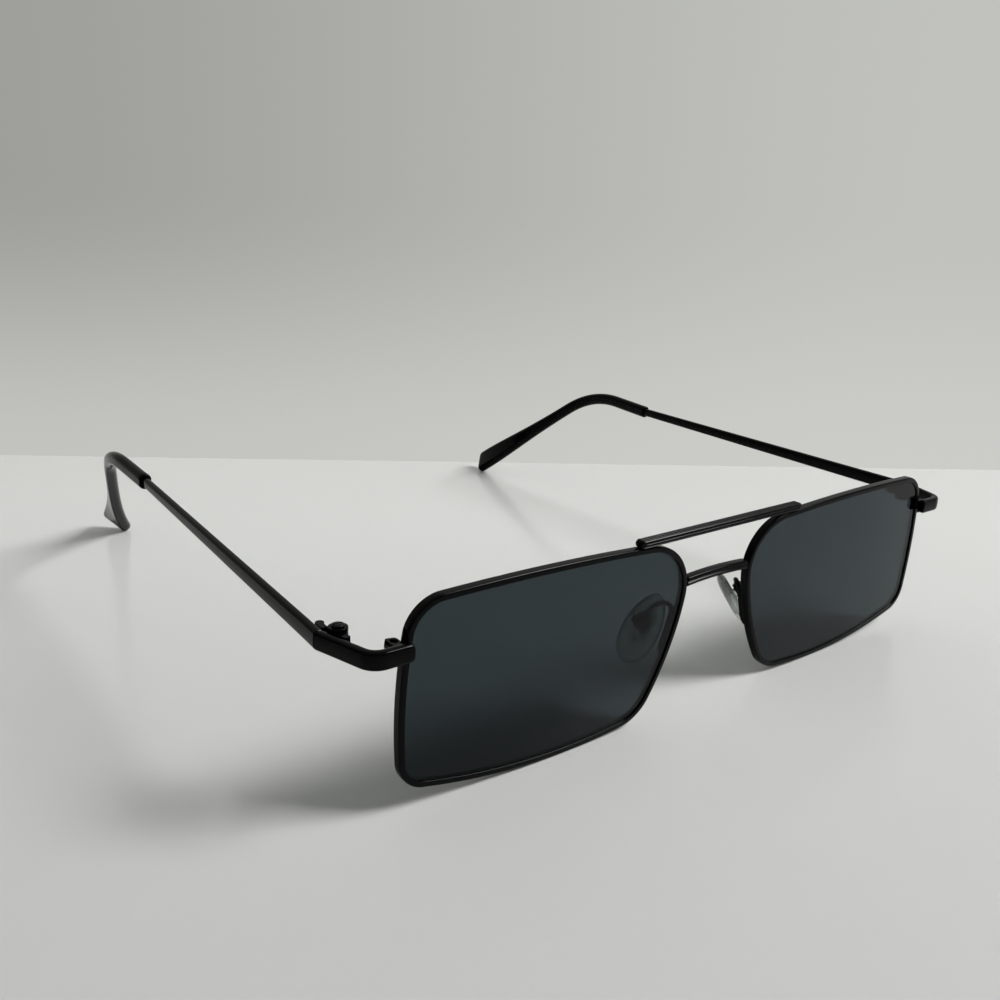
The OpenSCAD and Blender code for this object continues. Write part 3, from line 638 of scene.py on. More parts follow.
def at_lock(shell, z=0.0):
    return moved(moved(shell, (0, 0, z)), lock_place, lock_tilt, "Y")


def slotted_head(r, z0, z1, up):
    """A low domed screw head and the cutter for its slot."""
    wall = HEAD_WALL * (z1 - z0)
    base, crown = (z0, z1) if up > 0 else (z1, z0)
    levels = [(r - HEAD_FOOT_IN, base), (r, base + up * HEAD_FOOT_UP), (r, base + up * wall)]
    levels += [(r * math.cos(a), base + up * (wall + (z1 - z0 - wall) * math.sin(a)))
               for a in np.radians(np.linspace(15, 84, 7))]
    slot_z = sorted((crown - up * SLOT_D, crown + up * 2 * SLOT_OVER))
    reach = r + SLOT_OVER
    cutter = block((-reach, -SLOT_W / 2, slot_z[0]), (reach, SLOT_W / 2, slot_z[1]), SCREW_EDGE)
    return turned(levels, HEAD_STEPS), cutter


def lock_block(name, z, hole):
    height = LOCK_H - SAW_CUT / 2
    plan = rounded_rect(LOCK_W, LOCK_D, LOCK_CORNER) + [lock_axis[0], LOCK_D / 2]
    bore = moved(rod(hole, -BORE_OVER, height + BORE_OVER, steps=SHANK_STEPS), lock_axis)
    return workshop(name, [at_lock(skin(levels_of(plan, (0, height))), z)], [at_lock(bore, z)],
                    LOCK_EDGE)


def lock_upper(name):
    return lock_block(name, SAW_CUT / 2, LOCK_SCREW_R + THREAD_GAP)


def lock_lower(name):
    return lock_block(name, -LOCK_H, LOCK_SCREW_R + RUN_GAP)


def lock_screw(name):
    head, slot = slotted_head(LOCK_HEAD_R, -LOCK_HEAD_H, 0, -1)
    shank = rod(LOCK_SCREW_R, -SHANK_OVER, 2 * LOCK_H - LOCK_SCREW_SHORT, SHANK_EDGE, SHANK_STEPS)
    seat = -LOCK_H - BRAZE_GAP
    return workshop(name, [at_lock(moved(part, lock_axis), seat) for part in (head, shank)],
                    [at_lock(moved(slot, lock_axis), seat)], SCREW_EDGE)


dress([("lock_block_upper", "lock_upper", lock_upper, "black_metal", "front"),
       ("lock_block_lower", "lock_lower", lock_lower, "black_metal", "front"),
       ("lock_screw_turned", "lock_screw", lock_screw, "dark_steel", "front")], lean=True)
print("rim locks stand", round(lock_place[2], 1), "mm above the foot of the rims")

# %% [markdown]
# The brow bar is a straight drawn bar with fine reeds along its front and top, closed at
# each end by a small round knob. Each reed is a shallow half wave, so light breaks into
# the parallel lines that the photograph shows.

# %% Brow bar
BROW_LEN, BROW_H, BROW_D, REED_DEPTH = 38.6, 1.2, 1.7, 0.14
BROW_EDGE, KNOB_OVER, KNOB_INSET, BROW_AHEAD = 0.1, 0.06, 0.05, 0.25
REED_STEPS, REED_POWER, TOP_REEDS, FRONT_REEDS = 8, 0.7, 3, 2
KNOB_EDGE, KNOB_STEPS = 0.22, 48
knob_r = BROW_H / 2 + KNOB_OVER
brow_z = top_z(BROW_LEN / 2) + knob_r + BRAZE_GAP
brow_y = front_y(BROW_LEN / 2) + RIM_D / 2 - BROW_AHEAD


def reeded(start, end, count):
    """Points from start to end with a number of rounded reeds, cut below the line."""
    start, end = np.array(start, float), np.array(end, float)
    run = end - start
    inwards = unit([-run[1], run[0]])
    t = np.linspace(0, 1, count * REED_STEPS + 1)
    depth = REED_DEPTH * (1 - np.abs(np.sin(math.pi * count * t)) ** REED_POWER)
    depth[[0, -1]] = 0
    return start + t[:, None] * run + depth[:, None] * inwards


def brow_section():
    a, b, c = BROW_D / 2, BROW_H / 2, BROW_EDGE
    arc = np.radians(np.linspace(0, 90, 5))[1:-1]
    low_edge = [(a - c + c * math.sin(k), -b + c - c * math.cos(k)) for k in arc]
    high_edge = [(a - c + c * math.cos(k), b - c + c * math.sin(k)) for k in arc]
    lower_front = [(-a + c - c * math.cos(k), -b + c - c * math.sin(k)) for k in arc]
    return np.vstack([[(-a + c, -b), (a - c, -b)], low_edge, [(a, -b + c), (a, b - c)], high_edge,
                      reeded((a - c, b), (-a + c, b), TOP_REEDS),
                      reeded((-a, b - c), (-a, -b + c), FRONT_REEDS), lower_front])


section = brow_section()
bar_rings = [np.column_stack([np.full(len(section), x), section]) for x in
             np.linspace(-BROW_LEN / 2, BROW_LEN / 2, 25)]
knobs = []
for s in (-1, 1):
    knob = rod(knob_r, -BROW_D / 2 + KNOB_INSET, BROW_D / 2 - KNOB_INSET, KNOB_EDGE, KNOB_STEPS)
    knobs.append(moved(moved(knob, degrees=90, axis="X"), (s * BROW_LEN / 2, 0, 0)))
bar_parts = [moved(part, (0, brow_y, brow_z)) for part in [skin(bar_rings), *knobs]]
brow = set_down(draw("brow_bar_reeded", bar_parts), 1, lean=True)
fit(brow, "front", "black_metal", "brow_bar")
print("brow bar section:", len(section), "points")

# %% [markdown]
# The bridge is a gently arched bar with one groove along its front face. Its ends follow
# the slant of the rims' inner sides, where they are brazed on, so each point of the
# section runs its own length.

# %% Bridge
BRIDGE_Z, BRIDGE_H, BRIDGE_D, BRIDGE_ARCH, BRIDGE_GROOVE = 24.0, 1.6, 1.6, 90.0, 0.25
BRIDGE_EDGE, BRIDGE_GROOVE_EDGE, BRIDGE_GROOVE_FOOT = 0.3, 0.08, 0.1


def bridge_rings():
    a, b, g = BRIDGE_H / 2, BRIDGE_D / 2, BRIDGE_GROOVE
    outline_2d = filleted([
        (a, -b, BRIDGE_EDGE), (a, b, BRIDGE_EDGE), (g, b, BRIDGE_GROOVE_EDGE),
        (0, b - g, BRIDGE_GROOVE_FOOT), (-g, b, BRIDGE_GROOVE_EDGE),
        (-a, b, BRIDGE_EDGE), (-a, -b, BRIDGE_EDGE)])
    above = BRIDGE_H * 1.5
    low_x, high_x = (inner_x(BRIDGE_Z + s * above) - BRAZE_GAP for s in (-1, 1))
    radius = BRIDGE_ARCH + outline_2d[:, 0]
    reach = np.full(len(outline_2d), low_x)
    for _ in range(12):
        z = np.sqrt(radius ** 2 - reach ** 2) - BRIDGE_ARCH
        reach = low_x + (z + above) / (2 * above) * (high_x - low_x)
    rings = []
    for s in np.linspace(-1, 1, 41):
        z = BRIDGE_Z - BRIDGE_ARCH + np.sqrt(radius ** 2 - (s * reach) ** 2)
        y = front_y(BRIDGE_GAP / 2) + RIM_D / 2 - outline_2d[:, 1]
        rings.append(np.column_stack([s * reach, y, z]))
    return rings


bridge = set_down(draw("bridge_arched", [skin(bridge_rings())]), 1, lean=True)
fit(bridge, "front", "black_metal", "bridge")
print("bridge made")

# %% [markdown]
# An end piece is a flat bar that laps over the face of the rim, runs outwards and bends
# back to the hinge. Its start is rounded off in the front view, and the bend is an arc with
# many stations, so the long highlight on its upper edge flows round it.

# %% End pieces
END_RUN, END_BEND_R, END_HEADING = 3.6, 2.5, 72.0
SEAM_BACK, END_EDGE, END_NOSE, SEAM_EDGE = 9.9, 0.3, 0.75, 0.08
SHAFT_RISE, SHAFT_TOE_IN, SEAM_GAP = 2.06, 1.86, 0.12
end_mid_y = end_front + END_T / 2
seam_y = end_front + SEAM_BACK
bend_x = outer_x(END_Z) + END_RUN
end_start_x = outer_x(END_Z) - END_LAP
heading = math.radians(END_HEADING)
bend_end = np.array([bend_x + END_BEND_R * math.sin(heading),
                     end_mid_y + END_BEND_R * (1 - math.cos(heading))])
seam_x = bend_end[0] + (seam_y - bend_end[1]) / math.tan(heading)
seam_t = END_T / math.sin(heading)


def end_level(y):
    return END_Z + (y - end_mid_y) * math.tan(math.radians(SHAFT_RISE))


def end_ring(x, y, angle, w, h, edge):
    t = np.array([math.cos(angle), math.sin(angle), 0])
    return ring_at([x, y, end_level(y)], t, level_side(t), crowned(w, h, edge))


def rounded_off(radius, distance):
    """How far a rounded corner has drawn in, at a distance from its start."""
    return radius - math.sqrt(max(0.0, radius ** 2 - max(0.0, radius - distance) ** 2))


def end_rings():
    made = []
    for reach in END_NOSE * (1 - np.cos(np.radians(np.linspace(10, 82, 10)))):
        thin = rounded_off(END_EDGE, reach)
        made.append(end_ring(end_start_x + reach, end_mid_y, 0, END_T - 2 * thin,
                             END_H - 2 * rounded_off(END_NOSE, reach), END_EDGE - 0.6 * thin))
    for x in np.linspace(end_start_x + END_NOSE, bend_x, 6)[1:]:
        made.append(end_ring(x, end_mid_y, 0, END_T, END_H, END_EDGE))
    for a in heading * np.linspace(0, 1, 27)[1:]:
        x = bend_x + END_BEND_R * math.sin(a)
        y = end_mid_y + END_BEND_R * (1 - math.cos(a))
        made.append(end_ring(x, y, a, END_T, END_H, END_EDGE))
    middle = end_ring((bend_end[0] + seam_x) / 2, (bend_end[1] + seam_y) / 2, heading,
                      END_T, END_H, END_EDGE)
    seam = seam_ring(seam_y, 0)
    share = 1 - SEAM_EDGE / (seam_y - bend_end[1]) * 2
    for f in np.linspace(0, share, 6):
        made.append(middle + f * (seam - middle))
    made.append(seam_ring(seam_y, SEAM_EDGE))
    return made


def seam_ring(y, inset):
    """The section in the plane of the seam, drawn in a little to break its edge."""
    section = crowned(seam_t - 2 * inset, END_H - 2 * inset, END_EDGE - inset)
    return ring_at([seam_x, y, end_level(y)], (0, 1, 0), (1, 0, 0), section)


pair("end_piece_bent", "end_piece", [skin(end_rings())])
print("seam at x", round(seam_x, 2), "mm")

# %% [markdown]
# The barrel hinge is three stacked knuckles on one upright screw. The two outer knuckles
# belong to the front leaf, which lies along the end piece, and the middle one to the rear
# leaf on the temple. Each leaf is fused from its plate and knuckles and then bored, as it
# is in the factory, and the knuckles' outer edges are rounded off.

# %% Hinges
KNUCKLE_R, HINGE_H, HINGE_AHEAD, LEAF_T, LEAF_INSET = 1.4, 3.4, 0.6, 0.9, 0.45
FRONT_LEAF, REAR_LEAF, RIB_R, KNUCKLE_GAP, KNUCKLE_RELIEF = 1.4, 2.0, 0.65, 0.05, 0.12
HINGE_SCREW_R, HINGE_HEAD_R, HINGE_HEAD_H, HINGE_SCREW_UP = 0.55, 0.9, 0.4, 0.1
KNUCKLE_EDGE, MIDDLE_EDGE, LEAF_CORNER, HINGE_BORE_OVER, HINGE_STEPS = 0.1, 0.05, 0.12, 0.3, 48
FRONT_HINGE_EDGE, REAR_HINGE_EDGE, LEAF_OVER, WEB_OVER, WEB_CORNER = 0.07, 0.05, 0.3, 0.5, 0.1
hinge_y = seam_y - HINGE_AHEAD
hinge_x = (seam_x - seam_t / 2 - HINGE_AHEAD / math.tan(heading)
           - (KNUCKLE_R + BRAZE_GAP) / math.sin(heading))
hinge_low = end_level(hinge_y) - HINGE_H / 2
hinge_place = np.array([hinge_x, hinge_y, hinge_low])
knuckle_h = (HINGE_H - 2 * KNUCKLE_GAP) / 3


def at_hinge(shells):
    return [moved(shell, hinge_place) for shell in shells]


def front_hinge(name):
    upper = HINGE_H - knuckle_h
    plate = block((KNUCKLE_R - LEAF_T, -KNUCKLE_R - FRONT_LEAF, LEAF_INSET),
                  (KNUCKLE_R, -LEAF_OVER, HINGE_H - LEAF_INSET), LEAF_CORNER)
    solids = [rod(KNUCKLE_R, 0.0, knuckle_h, KNUCKLE_EDGE),
              rod(KNUCKLE_R, upper, HINGE_H, KNUCKLE_EDGE),
              moved(plate, degrees=END_HEADING - 90)]
    cutters = [rod(KNUCKLE_R + KNUCKLE_RELIEF, knuckle_h, upper),
               rod(HINGE_SCREW_R + THREAD_GAP, -BORE_OVER, knuckle_h + HINGE_BORE_OVER,
                   steps=HINGE_STEPS),
               rod(HINGE_SCREW_R + RUN_GAP, upper - HINGE_BORE_OVER, HINGE_H + BORE_OVER,
                   steps=HINGE_STEPS)]
    return workshop(name, at_hinge(solids), at_hinge(cutters), FRONT_HINGE_EDGE)


def rear_hinge(name):
    low_z = knuckle_h + KNUCKLE_GAP
    plate_y = KNUCKLE_R + KNUCKLE_EDGE
    z = (LEAF_INSET, HINGE_H - LEAF_INSET)
    ahead = plate_y - HINGE_AHEAD - SEAM_GAP
    plate = block((-LEAF_T, ahead, z[0]), (0, ahead + REAR_LEAF, z[1]), LEAF_CORNER)
    rib = moved(rod(RIB_R, *z, LEAF_CORNER), (-RIB_R, ahead + REAR_LEAF, 0))
    web = block((0, 0, low_z), (KNUCKLE_R - WEB_CORNER, plate_y + WEB_OVER, low_z + knuckle_h),
                WEB_CORNER)
    corner = (seam_x - seam_t / 2 - BRAZE_GAP - hinge_x, HINGE_AHEAD + SEAM_GAP, 0)
    solids = [rod(KNUCKLE_R, low_z, low_z + knuckle_h, MIDDLE_EDGE), web,
              moved(plate, corner, SHAFT_TOE_IN), moved(rib, corner, SHAFT_TOE_IN)]
    bore = rod(HINGE_SCREW_R + RUN_GAP, low_z - HINGE_BORE_OVER,
               low_z + knuckle_h + HINGE_BORE_OVER, steps=HINGE_STEPS)
    return workshop(name, at_hinge(solids), at_hinge([bore]), REAR_HINGE_EDGE)


def hinge_screw(name):
    seat = HINGE_H + BRAZE_GAP
    head, slot = slotted_head(HINGE_HEAD_R, seat, seat + HINGE_HEAD_H, 1)
    shank = rod(HINGE_SCREW_R, HINGE_SCREW_UP, seat + SHANK_OVER, SHANK_EDGE, SHANK_STEPS)
    return workshop(name, at_hinge([head, shank]), at_hinge([slot]), SCREW_EDGE)


dress([("hinge_leaf_front", "hinge_front", front_hinge, "black_metal", "front"),
       ("hinge_leaf_rear", "hinge_rear", rear_hinge, "black_metal", "temple_arm_SIDE"),
       ("hinge_screw_turned", "hinge_screw", hinge_screw, "dark_steel", "front")])
print("hinge axis at", np.round(hinge_place + [0, shift_y, HINGE_H / 2], 2), "mm")

# %% [markdown]
# A temple is a flat bar that tapers to the ear. Its last stretch is hammered thin and runs
# on inside the plastic tip as a core. The bar's flat sides with rounded edges give the
# light and dark stripes along its length.

# %% Temples
SHAFT_LEN, SHAFT_END_T, SHAFT_END_H, SHAFT_EDGE, SEAM_BLEND = 76.0, 1.4, 1.95, 0.45, 3.0
TIP_LEAD, TIP_SPREAD, EAR_BEND = 21.8, 1.3, 10.0
LEG_LEN, LEG_DROP, LEG_TOE_IN = 47.4, 35.1, 16.5
TIP_T, TIP_H, PADDLE_T, PADDLE_W, PADDLE_TWIST, TIP_EDGE = 2.4, 3.0, 2.6, 7.4, 45.0, 0.46
CORE_T, CORE_H, CORE_SHORT, CORE_EDGE, CORE_ROOT = 0.8, 1.1, 9.0, 0.25, 2.0
TIP_ROUND, TIP_THIN, TIP_FULL, TIP_STEPS, CORE_STEPS = 1.8, 0.35, 0.8, 9, 4
temple_y = seam_y + SEAM_GAP
at_seam = np.array([seam_x, temple_y, end_level(temple_y)])
shaft_end = np.array([seam_x - SHAFT_LEN * math.tan(math.radians(SHAFT_TOE_IN)),
                      temple_y + SHAFT_LEN,
                      end_level(temple_y) + SHAFT_LEN * math.tan(math.radians(SHAFT_RISE))])
drop, toe, spread = (math.radians(x) for x in (LEG_DROP, LEG_TOE_IN, TIP_SPREAD))
leg_way = np.array([-math.cos(drop) * math.sin(toe), math.cos(drop) * math.cos(toe),
                    -math.sin(drop)])
core_section = rounded_rect(CORE_T, CORE_H, CORE_EDGE, CORE_STEPS)


def mix(a, b, t):
    return a + t * (b - a)


def bezier3(a, k, b, t):
    return (1 - t) ** 2 * a + 2 * t * (1 - t) * k + t * t * b


def twisted(section, degrees):
    a = math.radians(degrees)
    x, y = section[:, 0], section[:, 1]
    return np.stack([x * math.cos(a) + y * math.sin(a), y * math.cos(a) - x * math.sin(a)], -1)


def tip_section(f, share=1.0):
    """Section of the tip at share f of the way down the leg, drawn in towards its end."""
    t = mix(TIP_T, PADDLE_T, f) * share
    h = mix(TIP_H, PADDLE_W, f * f) * mix(share, 1, TIP_THIN)
    return twisted(rounded_rect(t, h, TIP_EDGE * t, TIP_STEPS), PADDLE_TWIST * f * f)


def end_rounding():
    """Distances past the last full section and the share of it that is left."""
    a = np.radians(np.linspace(8, 78, 10))
    return [(TIP_ROUND * math.sin(k), math.cos(k) ** TIP_FULL) for k in a]


def end_ring_at(c, distance, share):
    return ring_at(c + distance * leg_way, leg_way, level_side(leg_way), tip_section(1, share))


end_rise = -min(end_ring_at(np.zeros(3), d, s)[:, 2].min()
                for d, s in [(0, 1.0), *end_rounding()])
ear = np.array([shaft_end[0] + TIP_LEAD * math.sin(spread),
                shaft_end[1] + TIP_LEAD * math.cos(spread),
                end_rise + LEG_LEN * math.sin(drop)])
tip_end = ear + LEG_LEN * leg_way
ear_from = ear - EAR_BEND * unit(ear - shaft_end)
ear_to = ear + EAR_BEND * leg_way


def tip_path():
    """Points along the tip, each with its share of the way down the leg."""
    lead = [(mix(shaft_end, ear_from, t), 0) for t in np.linspace(0, 1, 9)[:-1]]
    bend = [(bezier3(ear_from, ear, ear_to, t), 0) for t in np.linspace(0, 1, 25)]
    leg = [(mix(ear_to, tip_end, f), f) for f in np.linspace(0, 1, 31)[1:]]
    return lead + bend + leg


path = tip_path()
places = np.array([p for p, _ in path])
ways = unit(np.gradient(places, axis=0))
ways[-1] = leg_way


def temple_shells():
    way = unit(shaft_end - at_seam)
    side_way = level_side(way)

    def bar(f):
        return crowned(mix(END_T, SHAFT_END_T, f), mix(END_H, SHAFT_END_H, f),
                       mix(END_EDGE, SHAFT_EDGE, f))
    first = ring_at(at_seam, (0, 1, 0), (1, 0, 0), crowned(seam_t, END_H, END_EDGE))
    blend = ring_at(at_seam + SEAM_BLEND * way, way, side_way, bar(SEAM_BLEND / SHAFT_LEN))
    rings = [seam_ring(temple_y, SEAM_EDGE)]
    rings += [mix(first, blend, t) for t in np.linspace(SEAM_EDGE / SEAM_BLEND, 1, 6)]
    rings += [ring_at(mix(at_seam, shaft_end, f), way, side_way, bar(f))
              for f in np.linspace(SEAM_BLEND / SHAFT_LEN, 1 - BRAZE_GAP / SHAFT_LEN, 30)[1:]]
    core = [ring_at(shaft_end - CORE_ROOT * way, way, side_way, core_section)]
    core_stop = 1 - CORE_SHORT / (LEG_LEN - EAR_BEND)
    for (p, f), t in zip(path, ways):
        if f <= core_stop:
            shape = twisted(core_section, PADDLE_TWIST * f * f)
            core.append(ring_at(p, t, level_side(t), shape))
    return [skin(rings), skin(core)]


pair("temple_bar", "temple", temple_shells(), body="temple_arm_SIDE")
print("bare temple bar:", round(float(np.linalg.norm(shaft_end - at_seam)), 1), "mm")

# %% [markdown]
# The tip is an acetate sleeve. It starts as a slim oval with a softly broken mouth, turns
# down over the ear, and widens and twists into a flat paddle whose end is rounded like a
# fingertip. All of it is one smooth skin, which suits a piece that is moulded and polished.

# %% Temple tips
MOUTH = ((0.0, 0.80), (0.05, 0.90), (0.14, 0.97), (0.3, 1.0))


def tip_rings():
    rings = []
    way, across = ways[0], level_side(ways[0])
    for distance, share in MOUTH:
        shape = rounded_rect(TIP_T * share, TIP_H * share, TIP_EDGE * TIP_T * share, TIP_STEPS)
        rings.append(ring_at(shaft_end + distance * way, way, across, shape))
    for (p, f), t in list(zip(path, ways))[1:]:
        rings.append(ring_at(p, t, level_side(t), tip_section(f)))
    rings += [end_ring_at(tip_end, d, s) for d, s in end_rounding()]
    return rings


pair("tip_sleeve", "temple_tip", [skin(tip_rings())], "black_tip", "temple_arm_SIDE")
print("ear bend at height", round(float(ear[2]), 1), "mm")

# %% [markdown]
# A nose pad hangs on a bent wire. The wire is brazed to the back of the rim, rises beside
# the nose, arches over and comes down on a small round box. The box is slotted for the tab
# of the pad's insert, and a screw through both lets the pad rock a few degrees. The
# pad frame below has X along the screw, Y up the pad and Z towards the nose.

# %% Place of the pads
PAD_X, PAD_Y, PAD_Z = 12.7, 4.3, 16.1
PAD_SPLAY, PAD_TILT, PAD_LEAN = 31.0, 38.0, 2.0
BOX_R, BOX_D, TAB_HALF, TAB_R, TAB_GAP = 1.55, 1.7, 0.5, 0.8, 0.08
PAD_SCREW_R, PAD_HEAD_R, PAD_HEAD_H, BOX_WALL = 0.35, 0.7, 0.35, 1.45
ARM_R, ARM_FOOT, ARM_LEG, ARM_BACK = 0.4, 4.7, 1.4, 0.55
ARM_ARCH, ARM_RISE, ARM_LIFT = 2.8, 1.4, 0.2
pad_middle = np.array([PAD_X, PAD_Y, PAD_Z])
splay, tilt, pad_slope = (math.radians(x) for x in (PAD_SPLAY, PAD_TILT, PAD_LEAN))
pad_front = np.array([-math.sin(splay) * math.cos(tilt), -math.cos(splay),
                      -math.sin(splay) * math.sin(tilt)])
pad_tip = np.array([-math.sin(tilt), 0, math.cos(tilt)])
pad_x_way = math.cos(pad_slope) * pad_front + math.sin(pad_slope) * pad_tip
pad_y_way = math.cos(pad_slope) * pad_tip - math.sin(pad_slope) * pad_front
pad_z_way = np.cross(pad_x_way, pad_y_way)
pad_axes = np.array([pad_x_way, pad_y_way, pad_z_way])


def at_pad(shell):
    points, faces = shell
    return points @ pad_axes + pad_middle, faces


print("a pad faces", np.round(pad_z_way, 2))

# %% [markdown]
# The arm's wire swells a little at its foot, where braze has run round it.

# %% Pad arms
WIRE_SIDES = 20
FOOT_SWELL = ((0.0, 1.35), (0.12, 1.18), (0.3, 1.05), (0.6, 1.0))


def rim_rear(z, back):
    x = inner_x(z) + RIM_W / 2
    return leaned([x, front_y(x) + RIM_D + back, z])


def bezier4(a, b, c, d, t):
    return (1 - t) ** 3 * a + 3 * t * (1 - t) ** 2 * b + 3 * t * t * (1 - t) * c + t ** 3 * d


foot = rim_rear(PAD_Z - ARM_FOOT, BRAZE_GAP)
leg_low = rim_rear(PAD_Z - ARM_FOOT + ARM_RISE, ARM_BACK)
leg_top = rim_rear(PAD_Z + ARM_LEG, ARM_BACK)
arm_end = pad_middle + (BOX_R + BRAZE_GAP) * pad_y_way
knee = np.array([foot[0], leg_low[1], foot[2] + ARM_LIFT])
arm_points = [bezier3(foot, knee, leg_low, t) for t in np.linspace(0, 1, 13)]
arm_points += [mix(leg_low, leg_top, t) for t in np.linspace(0, 1, 8)[1:-1]]
arm_points += [bezier4(leg_top, leg_top + ARM_ARCH * unit(leg_top - leg_low),
                       arm_end + ARM_ARCH * pad_y_way, arm_end, t) for t in np.linspace(0, 1, 33)]
arm_points = np.array(arm_points)
arm_ways = unit(np.gradient(arm_points, axis=0))
arm_ways[0] = leaned([0, 1, 0])
arm_run = np.concatenate([[0], np.cumsum(np.linalg.norm(np.diff(arm_points, axis=0), axis=1))])


def arm_rings():
    swell = np.interp(arm_run, *zip(*FOOT_SWELL))
    rings = []
    for p, t, s in zip(arm_points, arm_ways, swell):
        up = unit(np.cross([1, 0, 0], t))
        rings.append(ring_at(p, t, np.cross(t, up), circle(ARM_R * s, WIRE_SIDES)))
    return rings


pair("pad_arm_wire", "pad_arm", [skin(arm_rings())])
print("pad arm wire:", round(float(arm_run[-1]), 1), "mm")

# %% [markdown]
# The box is a short round stub with a pocket milled into it and a cross hole for the
# screw. The insert is a thin plate inside the pad with a round tab that fits the pocket.

# %% Pad boxes, screws and inserts
CORE_PLATE_T, CORE_PLATE_W, CORE_PLATE_H, CORE_INSET, NECK_HALF = 0.5, 3.2, 7.0, 0.5, 0.72
PAD_BACK = 1.2
BOX_EDGE, BOX_BREAK, POCKET_STEPS, POCKET_ROUND = 0.15, 0.03, 16, 0.99
INSERT_EDGE, NECK_CORNER, NECK_OVER, PLATE_FLAT = 0.05, 0.02, 0.1, 0.01
CORE_PLATE_STEPS, PAD_SHANK_STEPS = 12, 32
core_from = PAD_BACK + CORE_INSET
pocket_half, pocket_r = TAB_HALF + TAB_GAP, TAB_R + TAB_GAP


def along_x(shell, degrees=90):
    """A shell along Z laid along X and set in the pad's place."""
    return at_pad(moved(shell, degrees=degrees, axis="Y"))


def pad_box(name):
    fillet = POCKET_ROUND * pocket_r
    slot = filleted([(pocket_r, BOX_D, 0), (-pocket_r, BOX_D, 0),
                     (-pocket_r, -pocket_r, fillet), (pocket_r, -pocket_r, fillet)], POCKET_STEPS)
    pocket = skin([np.column_stack([np.full(len(slot), x), slot])
                   for x in (-pocket_half, pocket_half)])
    bore = rod(PAD_SCREW_R + THREAD_GAP, -2 * BOX_R, 2 * BOX_R, steps=PAD_SHANK_STEPS)
    return workshop(name, [at_pad(rod(BOX_R, -BOX_D / 2, BOX_D / 2, BOX_EDGE))],
                    [at_pad(pocket), along_x(bore)], BOX_BREAK)


def pad_screw(name):
    seat = BOX_R + BRAZE_GAP
    head, slot = slotted_head(PAD_HEAD_R, 0, PAD_HEAD_H, 1)
    shank = rod(PAD_SCREW_R, -BOX_WALL, seat + SHANK_OVER, INSERT_EDGE, PAD_SHANK_STEPS)
    return workshop(name, [along_x(moved(head, (0, 0, seat)), -90), along_x(shank, -90)],
                    [along_x(moved(slot, (0, 0, seat)), -90)], SCREW_EDGE)


def pad_insert(name):
    plan = rounded_rect(CORE_PLATE_W, CORE_PLATE_H, CORE_PLATE_W / 2 - PLATE_FLAT,
                        CORE_PLATE_STEPS)
    plate = skin(levels_of(plan, (core_from, core_from + CORE_PLATE_T)))
    tab = rod(TAB_R, -TAB_HALF, TAB_HALF)
    neck = block((-TAB_HALF, -NECK_HALF, 0), (TAB_HALF, NECK_HALF, core_from + NECK_OVER),
                 NECK_CORNER)
    bore = rod(PAD_SCREW_R + RUN_GAP, -2, 2, steps=PAD_SHANK_STEPS)
    return workshop(name, [at_pad(plate), along_x(tab), at_pad(neck)], [along_x(bore)], INSERT_EDGE)


dress([("pad_box_milled", "pad_box", pad_box, "black_metal", "front"),
       ("pad_screw_turned", "pad_screw", pad_screw, "dark_steel", "front"),
       ("pad_insert", "pad_core", pad_insert, "pad_core", "pad_SIDE")])
print("pad boxes, screws and inserts made")

# %% [markdown]
# The pad is clear silicone moulded round the insert. In plan it is an oval, a little
# broader at its foot. Through its thickness it swells from a flat back to a soft crown, so
# its layers follow one smooth curve and its rim catches the light as a pale crescent.

# %% Nose pads
PAD_H, PAD_DROP, PAD_W, PAD_T, PAD_BROAD = 12.8, 0.7, 6.3, 1.9, 0.12
PAD_LAYERS = ((0, 0.72), (0.0, 0.8), (0.12, 0.92), (0.35, 1), (0.6, 0.97), (0.82, 0.83),
              (0.95, 0.6), (1, 0.3), (1, 0.02))
PAD_SIDES, LAYER_STEPS = 96, 5


def smooth_layers():
    """A Catmull-Rom curve through the pad's layers."""
    p = np.array(PAD_LAYERS, float)
    p = np.vstack([2 * p[0] - p[1], p, 2 * p[-1] - p[-2]])
    points = []
    for i in range(1, len(p) - 2):
        for t in np.arange(LAYER_STEPS) / LAYER_STEPS:
            points.append(0.5 * (2 * p[i] + (p[i + 1] - p[i - 1]) * t
                                 + (2 * p[i - 1] - 5 * p[i] + 4 * p[i + 1] - p[i + 2]) * t ** 2
                                 + (3 * p[i] - p[i - 1] - 3 * p[i + 1] + p[i + 2]) * t ** 3))
    points.append(p[-2])
    return np.clip(points, 0, 1)


def pad_rings():
    a = np.radians(-360 * np.arange(PAD_SIDES) / PAD_SIDES)
    broad = PAD_W / 2 * (1 - PAD_BROAD * np.sin(a))
    plan = np.stack([broad * np.cos(a), PAD_H / 2 * np.sin(a)], -1)
    rings = []
    for depth, share in smooth_layers():
        rings += levels_of(plan * share - [0, PAD_DROP], [PAD_BACK + PAD_T * depth])
    return rings


pair("nose_pad_clear", "nose_pad", [at_pad(skin(pad_rings()))], "clear_pad", "pad_SIDE")
print("nose pad:", PAD_W, "by", PAD_H, "mm")
